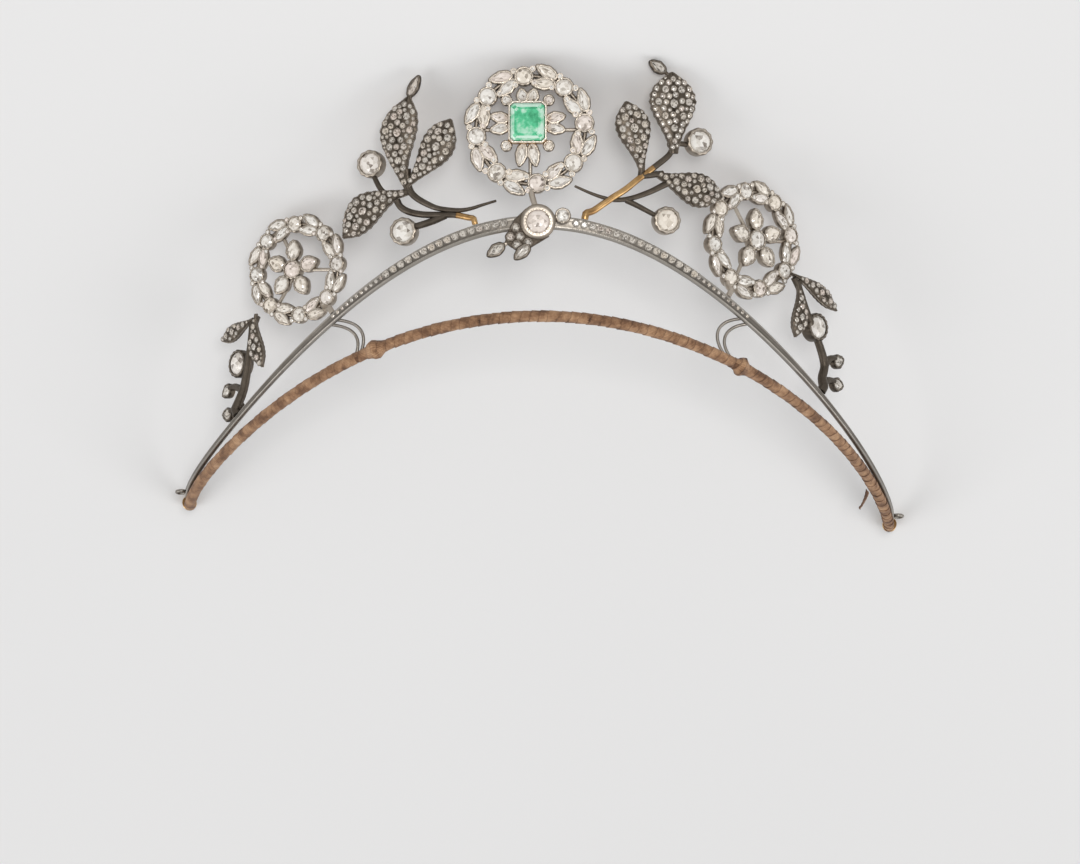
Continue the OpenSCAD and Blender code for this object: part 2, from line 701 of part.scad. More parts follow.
module wreath_stones(r, count, stone) {
    wreath_round_places(r, count)
        cut_stone(stone, stone);
    wreath_leaf_places(r, count, stone)
        cut_stone(wreath_leaf_x * stone, wreath_leaf_y(r, count, stone), wreath_leaf_drawn);
}

// The inner cluster of a flower: petal stones round its middle
petal_x = 1.5;
petal_y = 1.95;
petal_drawn = 0.45;
// Distance between the stone in the middle of a flower and a petal stone
petal_apart = 0.7;
module petal_places(r, count, first) {
    for (i = [0 : count - 1])
        rotate([0, 0, first + 360 * i / count - 90])
            translate([0, r, 0])
                children();
}
spoke_r = 0.45;
module spokes(from, to, angles) {
    for (a = angles)
        translate([0, 0, -wreath_drop])
            rotate([0, 90, a])
                translate([0, 0, from])
                    cylinder(r = spoke_r, h = to - from);
}

// The stem from the foot of a wreath down to its foot on the upper band
module flower_stem(row, r) {
    across = cos(row[5]) * orn_x(row[0]) - sin(row[5]) * cross(orn_x(row[0]), orn_y(row[0]));
    out = sin(row[4]) * across - cos(row[4]) * orn_y(row[0]);
    top = spot(row[0], row[1], row[2] + wreath_drop) + out * r * row[6];
    low = band_foot(row[3], foot_rise);
    path = spline([top, mix(top + out * foot_rise, low, 0.3), low]);
    wire(concat(path, [band_foot(row[3], 0)]), stem_r, stem_r, wire_sides, out_plan(row[0]));
}

// Middle flower
centre_count = 8;
cluster_shift = [0.6, 1.45];
// Petal stones round the green stone, two on each side. Columns: turn of the side from the top,
// whether it is above or below, half length of the stones
cluster_sides = [[0, 1, 1.25], [90, 0, 1.75], [180, 1, 2.2], [270, 0, 1.75]];
cluster_spread = 11;
emerald_bevel = 0.1;
module centre_place() {
    on_ornament(centre_spot[0], centre_spot[1], centre_spot[2])
        children();
}
function step_ring(w, h, z) =
    let (c = min(w, h) * emerald_bevel, x = w / 2, y = h / 2)
        [[x, y - c, z], [x - c, y, z], [-x + c, y, z], [-x, y - c, z],
         [-x, -y + c, z], [-x + c, -y, z], [x - c, -y, z], [x, -y + c, z]];
// Its steps from the table down. Columns: share of its outline, share of its width upward
emerald_steps = [[0.64, 0.15], [0.86, 0.09], [1, 0], [0.72, -0.16], [0.3, -0.3]];
emerald_seat_height = 1.3;
// How far its box rises over its widest outline
emerald_claw = 0.3;
emerald_low = emerald_seat_height + emerald_width * emerald_steps[4][1];
module emerald() {
    color(emerald_green)
        at_rest()
            centre_place()
                translate([-cluster_shift[0], cluster_shift[1], emerald_seat_height])
                    skin([
                        for (s = emerald_steps)
                            step_ring(emerald_width * s[0], emerald_height * s[0],
                                emerald_width * s[1])
                    ]);
}
function emerald_box(grow) = step_ring(emerald_width + grow * 2, emerald_height + grow * 2, 0);
function plan_of(ring) = [for (p = ring) [p[0], p[1]]];
module emerald_prism(grow, from, to) {
    translate([0, 0, from])
        linear_extrude(to - from)
            polygon(plan_of(emerald_box(grow)));
}
cluster_x = 0.92;
module cluster_place(s, side) {
    edge = (s[1] == 1 ? emerald_height : emerald_width) / 2;
    translate([-cluster_shift[0], cluster_shift[1], 0])
        rotate([0, 0, s[0] + side * cluster_spread])
            translate([0, edge + petal_apart + s[2], 0])
                children();
}
corner_stone_r = 0.85;
corner_out = 0.85;
module centre_corner_places() {
    for (x = [-1, 1], y = [-1, 1])
        translate([
            x * (emerald_width / 2 + corner_out) - cluster_shift[0],
            y * (emerald_height / 2 + corner_out) + cluster_shift[1], 0
        ])
            children();
}
module centre_metal() {
    wreath_metal(centre_wreath_r, centre_count, centre_stone_r);
    for (s = cluster_sides, side = [-1, 1])
        cluster_place(s, side)
            long_collet(cluster_x, s[2], petal_drawn);
    centre_corner_places()
        collet(corner_stone_r);
    spokes(emerald_width / 2, centre_wreath_r, [0, 180, 270]);
    translate([-cluster_shift[0], cluster_shift[1], 0])
        emerald_prism(gap + collet_wall, emerald_low - gap - collet_wall,
            emerald_seat_height + emerald_claw);
}
module centre_seats() {
    wreath_seats(centre_wreath_r, centre_count, centre_stone_r);
    for (s = cluster_sides, side = [-1, 1])
        cluster_place(s, side)
            long_seat(cluster_x, s[2], petal_drawn);
    centre_corner_places()
        seat(corner_stone_r);
    translate([-cluster_shift[0], cluster_shift[1], 0])
        emerald_prism(gap, emerald_low - gap, emerald_seat_height * 3);
}
module centre_setting() {
    color(silver)
        at_rest()
            difference() {
                union() {
                    centre_place()
                        centre_metal();
                    flower_stem(centre_spot, centre_wreath_r);
                }
                centre_place()
                    centre_seats();
            }
}
module centre_cluster_stones() {
    color(diamond)
        at_rest()
            centre_place() {
                for (s = cluster_sides, side = [-1, 1])
                    cluster_place(s, side)
                        cut_stone(cluster_x, s[2], petal_drawn);
                centre_corner_places()
                    cut_stone(corner_stone_r, corner_stone_r);
            }
}
module centre_wreath_stones() {
    color(diamond)
        at_rest()
            centre_place()
                wreath_stones(centre_wreath_r, centre_count, centre_stone_r);
}

// Side flowers
side_count = 8;
heart_r = 1.9;
heart_petals = 5;
heart_petal_r = heart_r + petal_apart + petal_y;
// The inner cluster of a side flower stands off the wreath's middle, away from the middle flower
heart_shift = 1.2;
module flower_place(row) {
    on_ornament(row[0], row[1], row[2])
        rotate([0, row[5], 0])
            scale(row[6])
                children();
}
module heart_place(row) {
    translate([sign(row[0]) * heart_shift, 0, 0])
        children();
}
module side_metal(row) {
    wreath_metal(side_wreath_r, side_count, side_stone_r);
    heart_place(row) {
        collet(heart_r);
        petal_places(heart_petal_r, heart_petals, 90)
            long_collet(petal_x, petal_y, petal_drawn);
    }
    spokes(0, side_wreath_r, [0, 120, 240]);
}
module side_seats(row) {
    wreath_seats(side_wreath_r, side_count, side_stone_r);
    heart_place(row) {
        seat(heart_r);
        petal_places(heart_petal_r, heart_petals, 90)
            long_seat(petal_x, petal_y, petal_drawn);
    }
}
module side_flower(row) {
    color(silver)
        at_rest()
            difference() {
                union() {
                    flower_place(row)
                        side_metal(row);
                    flower_stem(row, side_wreath_r);
                }
                flower_place(row)
                    side_seats(row);
            }
}
module side_heart(row) {
    color(diamond)
        at_rest()
            flower_place(row)
                heart_place(row)
                    cut_stone(heart_r, heart_r);
}
module side_stones(row) {
    color(diamond)
        at_rest()
            flower_place(row) {
                wreath_stones(side_wreath_r, side_count, side_stone_r);
                heart_place(row)
                    petal_places(heart_petal_r, heart_petals, 90)
                        cut_stone(petal_x, petal_y, petal_drawn);
            }
}

// Sprays
module spray(leaves, stem_rows, rounds, bud) {
    color(silver)
        at_rest()
            difference() {
                union() {
                    for (row = leaves)
                        on_leaf(row)
                            leaf_body(row);
                    stems(stem_rows);
                    for (p = rounds)
                        on_ornament(p[0], p[1], p[2])
                            collet(free_stone_r, free_rim);
                    on_leaf(bud)
                        long_collet(bud[4], bud[5], bud_drawn);
                }
                for (row = leaves)
                    on_leaf(row)
                        each_leaf_stone(row, leaf_stones, $seats = true);
                for (p = rounds)
                    on_ornament(p[0], p[1], p[2])
                        seat(free_stone_r);
                on_leaf(bud)
                    long_seat(bud[4], bud[5], bud_drawn);
            }
}
module spray_stones(leaves, bud) {
    color(diamond)
        at_rest() {
            for (row = leaves)
                on_leaf(row)
                    each_leaf_stone(row, leaf_stones, $seats = false);
            on_leaf(bud)
                cut_stone(bud[4], bud[5], bud_drawn);
        }
}
module free_stone(p, r) {
    color(diamond)
        at_rest()
            on_ornament(p[0], p[1], p[2])
                cut_stone(r, r);
}
left_leaves = [leaf_rows[0], leaf_rows[1], leaf_rows[2]];
right_leaves = [leaf_rows[3], leaf_rows[4], leaf_rows[5]];

// The knot in front of the upper band: a large stone, a small one and two leaf drops
knot_spot = [-0.3, 0];
knot_side_r = 1.3;
knot_side = [5.3, 1.35, -0.5];
// Its body below to the left, and the small stones in it. Columns: place across and up
knot_body = [[-2.6, 2.9], [-5, 0.6], [-6.3, -1.8], [-7.1, -4.4], [-5.6, -5.5], [-1.4, -5.4], [2.4, -3.1]];
knot_body_thick = 1.6;
knot_small_r = 0.72;
knot_small = [[-4.75, -1.2], [-3.8, -3.1], [-2.1, -4.4], [-5.9, -3.2], [-4.5, -4.9]];
knot_forward = band_thick / 2 + gap + collet_depth(knot_stone_r)
    + collet_r(knot_stone_r, knot_rim) * tan(ornament_lean);
knot_bar_r = 0.5;
// Its leaf drops. Columns: place across and up from the knot's middle, turn
drop_rows = [[-9, -6.1, 125], [-3.4, -6.5, 134]];
drop_x = 0.9;
drop_y = 1.8;
drop_drawn = 0.5;
// How far the leaf drops and the small stones lie behind the large stone's girdle
drop_behind = 0.2;
knot_small_behind = 0.4;
module knot_place() {
    on_ornament(knot_spot[0], knot_spot[1], -knot_forward)
        children();
}
module drop_places() {
    for (d = drop_rows)
        translate([d[0], d[1], -drop_behind])
            rotate([0, 0, d[2]])
                children();
}
// A bar in the plane of the knot from its middle to a place
module knot_bar(to) {
    translate([0, 0, -stone_depth * knot_side_r])
        rotate([0, 90, atan2(to[1], to[0])])
            cylinder(r = knot_bar_r, h = norm([to[0], to[1]]));
}
module knot_small_places() {
    for (q = knot_small)
        translate([q[0], q[1], -knot_small_behind])
            children();
}
module knot_setting() {
    color(silver)
        at_rest()
            knot_place()
                difference() {
                    union() {
                        collet(knot_stone_r, knot_rim);
                        translate([0, 0, -knot_small_behind - knot_body_thick])
                            linear_extrude(knot_body_thick)
                                polygon(knot_body);
                        knot_small_places()
                            collet(knot_small_r);
                        translate(knot_side)
                            collet(knot_side_r);
                        drop_places()
                            long_collet(drop_x, drop_y, drop_drawn);
                        knot_bar(knot_side);
                        for (d = drop_rows)
                            knot_bar(d);
                    }
                    seat(knot_stone_r);
                    knot_small_places()
                        seat(knot_small_r);
                    translate(knot_side)
                        seat(knot_side_r);
                    drop_places()
                        long_seat(drop_x, drop_y, drop_drawn);
                }
}
module knot_stone() {
    color(diamond)
        at_rest()
            knot_place()
                cut_stone(knot_stone_r, knot_stone_r);
}
module knot_side_stone() {
    color(diamond)
        at_rest()
            knot_place()
                translate(knot_side)
                    cut_stone(knot_side_r, knot_side_r);
}
module knot_leaf_stones() {
    color(diamond)
        at_rest()
            knot_place() {
                drop_places()
                    cut_stone(drop_x, drop_y, drop_drawn);
                knot_small_places()
                    cut_stone(knot_small_r, knot_small_r);
            }
}

// Trailing sprigs over the side of the head. Two leaves at the foot of a wreath, a round stone
// and two pointed buds, on a stem from the upper band.
// Columns of each place: angle, rise share, set back, turn, and for a leaf its size shares and bow
left_sprig = [
    [-55.25, 0.528, -0.7, 112.9, 0.8, 0.44, 0],
    [-49.15, 0.304, -0.9, -164.8, 0.81, 0.5, 0.1],
    [-56.14, 0.343, 0, 0],
    [-60, 0.262, 0.2, 125],
    [-59.8, 0.114, 0.2, 90]
];
right_sprig = [
    [47.72, 0.567, -0.7, -120.7, 1.03, 0.44, -0.06],
    [43.44, 0.326, -0.9, 171.9, 0.76, 0.5, -0.1],
    [49.32, 0.403, 0, 0],
    [55.4, 0.363, 0.2, -75],
    [55.1, 0.212, 0.2, -100]
];
left_sprig_stems = [
    [1.7, 1, [[-55.6], [-55, 0.142, 0.5], [-53.9, 0.22, 0.5], [-52.6, 0.326, 0.1],
        [-51.4, 0.42, -0.4], [-49.9, 0.47, -0.6]]],
    [1.2, 1, [[-52, 0.38, -0.2], [-51.6, 0.45, -0.4], [-51.9, 0.5, -0.5]]],
    [1.4, 1, [[-55.2, 0.16, 0.6], [-57.6, 0.235, 0.7], [-59.2, 0.262, 0.6]]],
    [1.4, 1, [[-55.4, 0.07, 0.5], [-57.5, 0.1, 0.6], [-59, 0.114, 0.6]]]
];
right_sprig_stems = [
    [1.7, 1, [[49.6], [50.9, 0.14, 0.6], [51.7, 0.24, 0.8], [50.4, 0.32, 0.8], [48, 0.38, 0.5],
        [46.2, 0.43, 0], [44.4, 0.49, -0.5], [43.1, 0.52, -0.6]]],
    [1.2, 1, [[45.3, 0.46, -0.3], [44.4, 0.51, -0.4], [44.6, 0.545, -0.5]]],
    [1.4, 1, [[51.6, 0.22, 0.8], [53, 0.31, 0.8], [54.6, 0.36, 0.6]]],
    [1.4, 1, [[50.7, 0.1, 0.5], [52.6, 0.17, 0.6], [54.3, 0.21, 0.6]]]
];
sprig_round_r = 2.45;
sprig_bud_x = 1.1;
sprig_bud_y = 1.5;
module sprig(places, stem_rows) {
    color(silver)
        at_rest()
            difference() {
                union() {
                    for (i = [0, 1])
                        on_leaf(places[i])
                            leaf_body(places[i]);
                    on_leaf(places[2])
                        collet(sprig_round_r, free_rim);
                    for (i = [3, 4])
                        on_leaf(places[i])
                            long_collet(sprig_bud_x, sprig_bud_y, bud_drawn);
                    stems(stem_rows);
                }
                for (i = [0, 1])
                    on_leaf(places[i])
                        each_leaf_stone(places[i], sprig_leaf_stones, $seats = true);
                on_leaf(places[2])
                    seat(sprig_round_r);
                for (i = [3, 4])
                    on_leaf(places[i])
                        long_seat(sprig_bud_x, sprig_bud_y, bud_drawn);
            }
}
module sprig_stones(places) {
    color(diamond)
        at_rest() {
            for (i = [0, 1])
                on_leaf(places[i])
                    each_leaf_stone(places[i], sprig_leaf_stones, $seats = false);
            for (i = [3, 4])
                on_leaf(places[i])
                    cut_stone(sprig_bud_x, sprig_bud_y, bud_drawn);
        }
}

module spray_left() {
    spray(left_leaves, left_stems, [left_upper, left_lower], left_bud);
}
module spray_left_stones() {
    spray_stones(left_leaves, left_bud);
}
module spray_right() {
    spray(right_leaves, right_stems, [right_upper, right_lower], right_bud);
}
module spray_right_stones() {
    spray_stones(right_leaves, right_bud);
}

frame();
ribbon_left();
ribbon_middle();
ribbon_right();
ribbon_tail();
band_stones(-1);  // band_stones_left
band_stones(1);  // band_stones_right
centre_setting();
emerald();
centre_cluster_stones();
centre_wreath_stones();
knot_setting();
knot_stone();
knot_side_stone();
knot_leaf_stones();
spray_left();
spray_left_stones();
free_stone(left_upper, free_stone_r);  // spray_left_upper_stone
free_stone(left_lower, free_stone_r);  // spray_left_lower_stone
spray_right();
spray_right_stones();
free_stone(right_upper, free_stone_r);  // spray_right_upper_stone
free_stone(right_lower, free_stone_r);  // spray_right_lower_stone
side_flower(left_flower);  // flower_left
side_heart(left_flower);  // flower_left_heart
side_stones(left_flower);  // flower_left_stones
side_flower(right_flower);  // flower_right
side_heart(right_flower);  // flower_right_heart
side_stones(right_flower);  // flower_right_stones
sprig(left_sprig, left_sprig_stems);  // sprig_left
sprig_stones(left_sprig);  // sprig_left_stones
free_stone(left_sprig[2], sprig_round_r);  // sprig_left_round_stone
sprig(right_sprig, right_sprig_stems);  // sprig_right
sprig_stones(right_sprig);  // sprig_right_stones
free_stone(right_sprig[2], sprig_round_r);  // sprig_right_round_stone
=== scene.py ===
import math
import random

import bpy
import numpy as np
from mathutils import Matrix


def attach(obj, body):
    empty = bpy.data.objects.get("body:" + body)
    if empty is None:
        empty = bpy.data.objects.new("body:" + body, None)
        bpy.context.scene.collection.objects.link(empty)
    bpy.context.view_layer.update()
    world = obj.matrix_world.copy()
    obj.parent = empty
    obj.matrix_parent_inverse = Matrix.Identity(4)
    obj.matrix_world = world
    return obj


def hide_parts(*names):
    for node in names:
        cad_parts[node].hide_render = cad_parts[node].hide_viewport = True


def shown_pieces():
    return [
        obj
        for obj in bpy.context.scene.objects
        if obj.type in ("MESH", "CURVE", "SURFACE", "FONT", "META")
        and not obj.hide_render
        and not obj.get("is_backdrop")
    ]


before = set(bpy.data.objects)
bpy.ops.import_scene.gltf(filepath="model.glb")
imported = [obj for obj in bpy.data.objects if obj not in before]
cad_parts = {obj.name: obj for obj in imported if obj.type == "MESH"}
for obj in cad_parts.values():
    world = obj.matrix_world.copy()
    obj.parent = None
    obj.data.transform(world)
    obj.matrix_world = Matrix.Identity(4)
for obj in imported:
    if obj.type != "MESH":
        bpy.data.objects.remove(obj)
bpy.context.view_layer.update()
dice = random.Random(1871)
print("frame loaded,", len(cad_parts), "solids")

# How it lies
# Sizes are in millimetres on the standing diadem: x to the right, y away from the viewer, z up.
stand = {
    "halfWidth": 80, "planDepth": 65, "lowRise": 44.8,
    "frontGap": 20, "sideGap": 2.45, "gapPower": 4, "risePower": 1.55,
    "upperOut": 0.5, "upperForward": 2.5,
    "endSkew": 2.5, "skewPower": 9,
    "bandHeight": 3, "bandEndHeight": 1.1, "bandThick": 1.3, "bandPower": 4.5,
    "rise": 36, "lean": 5,
    "tilt": 31.5251, "shift": (0.16554, 56.846, 2.14631),
}


def sinD(a):
    return math.sin(math.radians(a))


def cosD(a):
    return math.cos(math.radians(a))


def tanD(a):
    return math.tan(math.radians(a))


def unit(v):
    return v / np.linalg.norm(v)


def vec(*v):
    return np.array(v, float)


# the standing diadem's millimetres to metres where it lies
layDown = np.array([
    [-1, 0, 0, stand["shift"][0]],
    [0, sinD(stand["tilt"]), -cosD(stand["tilt"]), stand["shift"][1]],
    [0, -cosD(stand["tilt"]), -sinD(stand["tilt"]), stand["shift"][2]],
    [0, 0, 0, 1000],
]) / 1000


def laid(points):
    return np.asarray(points, float) @ layDown[:3, :3].T + layDown[:3, 3]


def upright(a):
    return max(cosD(a), 0)


def skew(a):
    return -stand["endSkew"] * sinD(a) ** stand["skewPower"]


def lowHeight(a):
    return stand["lowRise"] * upright(a) ** stand["risePower"]


def bandGap(a):
    return stand["sideGap"] + (stand["frontGap"] - stand["sideGap"]) * upright(a) ** stand["gapPower"]


def bandPoint(a, out, forward, z):
    s, off = stand, skew(a)
    return vec((s["halfWidth"] + out) * sinD(a),
               -(s["planDepth"] + forward) * cosD(a) - off * tanD(s["tilt"]), z + off)


def lowPoint(a):
    return bandPoint(a, 0, 0, lowHeight(a))


def upPoint(a):
    return bandPoint(a, stand["upperOut"], stand["upperForward"], lowHeight(a) + bandGap(a))


def outPlan(a):
    return unit(vec(sinD(a) * stand["planDepth"], -cosD(a) * stand["halfWidth"], 0))


def axesAt(pointAt, a):  # along a band, out from the head, and across it upward
    t = unit(pointAt(a + 0.2) - pointAt(a - 0.2))
    o = outPlan(a)
    o = unit(o - (o @ t) * t)
    return t, o, np.cross(o, t)


def bandHeightAt(a):
    k = upright(a) ** stand["bandPower"]
    return stand["bandEndHeight"] + (stand["bandHeight"] - stand["bandEndHeight"]) * k


def yawAt(a):
    return math.degrees(math.atan2(sinD(a) * stand["planDepth"], cosD(a) * stand["halfWidth"]))


def spotAt(a, rise, back=0):
    up = rise * stand["rise"]
    return upPoint(a) + vec(0, tanD(stand["lean"]) * up, up) - back * outPlan(a)


def turnZ(d):
    return np.array([[cosD(d), -sinD(d), 0, 0], [sinD(d), cosD(d), 0, 0], [0, 0, 1, 0], [0, 0, 0, 1]], float)


def turnY(d):
    return np.array([[cosD(d), 0, sinD(d), 0], [0, 1, 0, 0], [-sinD(d), 0, cosD(d), 0], [0, 0, 0, 1]], float)


def shiftBy(x, y, z=0):
    m = np.eye(4)
    m[:3, 3] = (x, y, z)
    return m


def placed(x, y, z, at):  # a place with these axes
    m = np.eye(4)
    m[:3] = np.column_stack([x, y, z, at])
    return m


def onOrnament(a, rise, back=0, turn=0):  # a place with z outward and y up along the ornament
    w, n = yawAt(a), stand["lean"]
    return placed((cosD(w), sinD(w), 0), (-sinD(w) * sinD(n), cosD(w) * sinD(n), cosD(n)),
                  (sinD(w) * cosD(n), -cosD(w) * cosD(n), sinD(n)), spotAt(a, rise, back)) @ turnZ(turn)


def onBand(a, out, up):  # a place on the upper band, with z outward and y up across it
    t, o, b = axesAt(upPoint, a)
    return placed(np.cross(b, o), b, o, upPoint(a) + o * out + b * bandHeightAt(a) * up)


def linked(name, data):
    obj = bpy.data.objects.new(name, data)
    bpy.context.scene.collection.objects.link(obj)
    return obj


# Camera, light and floor
view = {"distance": 1000, "height": 19.95, "lens": 145.33, "sensor": 36, "clip": (0.05, 20)}
camera = linked("camera", bpy.data.cameras.new("camera"))
bpy.context.scene.camera = camera
camera.data.lens = view["lens"]
camera.data.sensor_width = view["sensor"]
camera.data.clip_start, camera.data.clip_end = view["clip"]
eye = laid([vec(0, -view["distance"], view["height"])])[0]
turn = layDown[:3, :3] * 1000
camera.matrix_world = Matrix(placed(turn[:, 0], turn[:, 2], -turn[:, 1], eye).tolist())

lights = {
    "world": (0.97, 0.965, 0.96), "worldStrength": 0.54,
    "key": {"at": (-0.12, -0.85, 1.15), "size": 0.42, "power": 6.0, "colour": (1, 0.985, 0.96)},
    "left": {"at": (1.1, 0.25, 0.9), "size": 0.9, "power": 5.5, "colour": (1, 0.99, 0.98)},
    "right": {"at": (-1.1, 0.35, 0.9), "size": 0.9, "power": 4.9, "colour": (1, 0.99, 0.98)},
}
world = bpy.data.worlds.new("studio")
world.use_nodes = True
world.node_tree.nodes["Background"].inputs[0].default_value = (*lights["world"], 1)
world.node_tree.nodes["Background"].inputs[1].default_value = lights["worldStrength"]
bpy.context.scene.world = world
for lampName in ("key", "left", "right"):
    row = lights[lampName]
    lamp = bpy.data.lights.new(lampName, "AREA")
    lamp.shape = "DISK"
    lamp.size, lamp.energy, lamp.color = row["size"], row["power"], row["colour"]
    back = unit(vec(*row["at"]))
    side = unit(np.cross((0, 1, 0.01), back))
    linked(lampName, lamp).matrix_world = Matrix(placed(side, np.cross(back, side), back, row["at"]).tolist())
bpy.context.scene.view_settings.view_transform = "Standard"
print("camera and lights placed")


# Finishes
def newFinish(name, base, metallic, roughness):
    mat = bpy.data.materials.new(name)
    mat.use_nodes = True
    shader = mat.node_tree.nodes["Principled BSDF"]
    shader.inputs["Base Color"].default_value = (*base, 1)
    shader.inputs["Metallic"].default_value = metallic
    shader.inputs["Roughness"].default_value = roughness
    return mat, mat.node_tree, shader


def place(tree, kind, **values):  # a node with its settings and its sockets' constants
    n = tree.nodes.new(kind)
    for key, value in values.items():
        if hasattr(n, key):
            setattr(n, key, value)
        else:
            n.inputs[key.replace("_", " ")].default_value = value
    return n


def attribute(tree, name, output="Fac"):
    return place(tree, "ShaderNodeAttribute", attribute_name=name).outputs[output]


def spots(tree, scale, detail, rough):
    where = tree.nodes.new("ShaderNodeTexCoord")
    noise = place(tree, "ShaderNodeTexNoise", Scale=scale, Detail=detail, Roughness=rough)
    tree.links.new(where.outputs["Object"], noise.inputs["Vector"])
    return noise.outputs[0]


def maths(tree, operation, *values):  # each value is a number or another node's output
    n = place(tree, "ShaderNodeMath", operation=operation)
    for socket, value in zip(n.inputs, values):
        if isinstance(value, (int, float)):
            socket.default_value = value
        else:
            tree.links.new(value, socket)
    return n.outputs[0]


def wandering(tree, value, noise, share):  # noise moves the value up and down by half of the share
    return maths(tree, "SUBTRACT", maths(tree, "MULTIPLY_ADD", noise, share, value), share * 0.5)


def ramp(tree, source, stops):
    n = tree.nodes.new("ShaderNodeValToRGB")
    tree.links.new(source, n.inputs[0])
    while len(n.color_ramp.elements) < len(stops):
        n.color_ramp.elements.new(0.5)
    for element, (at, colour) in zip(n.color_ramp.elements, stops):
        element.position = at
        element.color = (*colour, 1)
    return n.outputs[0]


def multiplied(tree, colour, shade, factor):
    n = place(tree, "ShaderNodeMix", data_type="RGBA", blend_type="MULTIPLY")
    n.inputs["Factor"].default_value = factor
    tree.links.new(colour, n.inputs["A"])
    tree.links.new(shade, n.inputs["B"])
    return n.outputs["Result"]


def roughen(tree, shader, height, strength, distance):
    bump = place(tree, "ShaderNodeBump", Strength=strength, Distance=distance)
    tree.links.new(height, bump.inputs["Height"])
    tree.links.new(bump.outputs[0], shader.inputs["Normal"])


def metalFinish(name, look):
    mat, tree, shader = newFinish(name, look["bright"], 1.0, look["rough"])
    fine = spots(tree, look["grain"], 2.0, 0.5)
    # worn crests are bright, hollows keep their tarnish, and clouds of it wander over both
    level = wandering(tree, attribute(tree, "tone"), spots(tree, look["cloud"], 4.0, 0.6), look["wander"])
    colour = ramp(tree, level, [(0.0, look["dark"]), (0.45, look["middle"]), (1.0, look["bright"])])
    tree.links.new(colour, shader.inputs["Base Color"])
    rough = place(tree, "ShaderNodeMapRange", To_Min=look["rough"] - 0.1, To_Max=look["rough"] + 0.14)
    tree.links.new(fine, rough.inputs["Value"])
    tree.links.new(rough.outputs[0], shader.inputs["Roughness"])
    roughen(tree, shader, fine, look["bump"], 0.0002)
    return mat


silver = metalFinish("flowerSilver", {
    "bright": (0.74, 0.68, 0.60), "middle": (0.40, 0.345, 0.285), "dark": (0.10, 0.078, 0.058),
    "rough": 0.36, "cloud": 260, "grain": 2600, "wander": 0.5, "bump": 0.25})
bandSilver = metalFinish("bandSilver", {
    "bright": (0.44, 0.41, 0.37), "middle": (0.20, 0.18, 0.157), "dark": (0.045, 0.038, 0.03),
    "rough": 0.36, "cloud": 180, "grain": 2200, "wander": 0.4, "bump": 0.2})
darkSilver = metalFinish("darkSilver", {
    "bright": (0.36, 0.32, 0.275), "middle": (0.13, 0.108, 0.086), "dark": (0.022, 0.017, 0.013),
    "rough": 0.42, "cloud": 420, "grain": 2400, "wander": 0.55, "bump": 0.35})
gold = metalFinish("oldGold", {
    "bright": (0.74, 0.49, 0.22), "middle": (0.36, 0.205, 0.085), "dark": (0.10, 0.055, 0.028),
    "rough": 0.32, "cloud": 420, "grain": 2600, "wander": 1.1, "bump": 0.2})


def stoneFinish(name, look):
    mat, tree, shader = newFinish(name, look["pale"], 0.0, look["rough"])
    # each facet's painted light and shade, standing in for the stone's reflections, sets its colour, and
    # clouds in the stone break it up
    level = wandering(tree, attribute(tree, "paintedFacetLight"), spots(tree, look["inside"], 3.0, 0.6), look["mottle"])
    pale = ramp(tree, level, [(0.0, look["deep"]), (look["half"], look["middle"]), (0.85, look["pale"])])
    shade = ramp(tree, attribute(tree, "tint"), look["tints"])
    tree.links.new(multiplied(tree, pale, shade, look["tinting"]), shader.inputs["Base Color"])
    shader.inputs["IOR"].default_value = look["ior"]
    shader.inputs["Transmission Weight"].default_value = look["clear"]
    roughen(tree, shader, spots(tree, look["cloud"], 2.0, 0.5), look["bump"], 0.0001)
    return mat


diamondLook = {
    "pale": (1.0, 0.965, 0.91), "middle": (0.74, 0.69, 0.62), "deep": (0.16, 0.125, 0.095),
    "rough": 0.08, "ior": 1.9, "clear": 0.12, "cloud": 900, "bump": 0.12, "tinting": 0.85,
    "inside": 1400, "mottle": 0.5, "half": 0.3,
    "tints": [(0, (1.0, 0.94, 0.86)), (0.4, (1, 1, 1)), (0.7, (0.95, 0.96, 0.97)), (1, (1.0, 0.91, 0.88))]}
diamond = stoneFinish("oldDiamond", diamondLook)
# painted shade: a darker copy of the diamond finish, for the stones in the band, the leaves and the knot
shadedDiamond = stoneFinish("shadedDiamond", dict(
    diamondLook, pale=(0.72, 0.67, 0.60), middle=(0.32, 0.28, 0.235), deep=(0.05, 0.04, 0.03)))
emeraldGlass = stoneFinish("emeraldGlass", {
    "pale": (0.74, 1.0, 0.86), "middle": (0.12, 0.68, 0.36), "deep": (0.01, 0.20, 0.08),
    "rough": 0.05, "ior": 1.57, "clear": 0.15, "cloud": 500, "bump": 0.15, "tinting": 0.4,
    "inside": 430, "mottle": 1.9, "half": 0.45,
    "tints": [(0.0, (1, 1, 1)), (0.5, (0.92, 1.0, 0.94)), (1.0, (0.85, 1, 0.88))]})


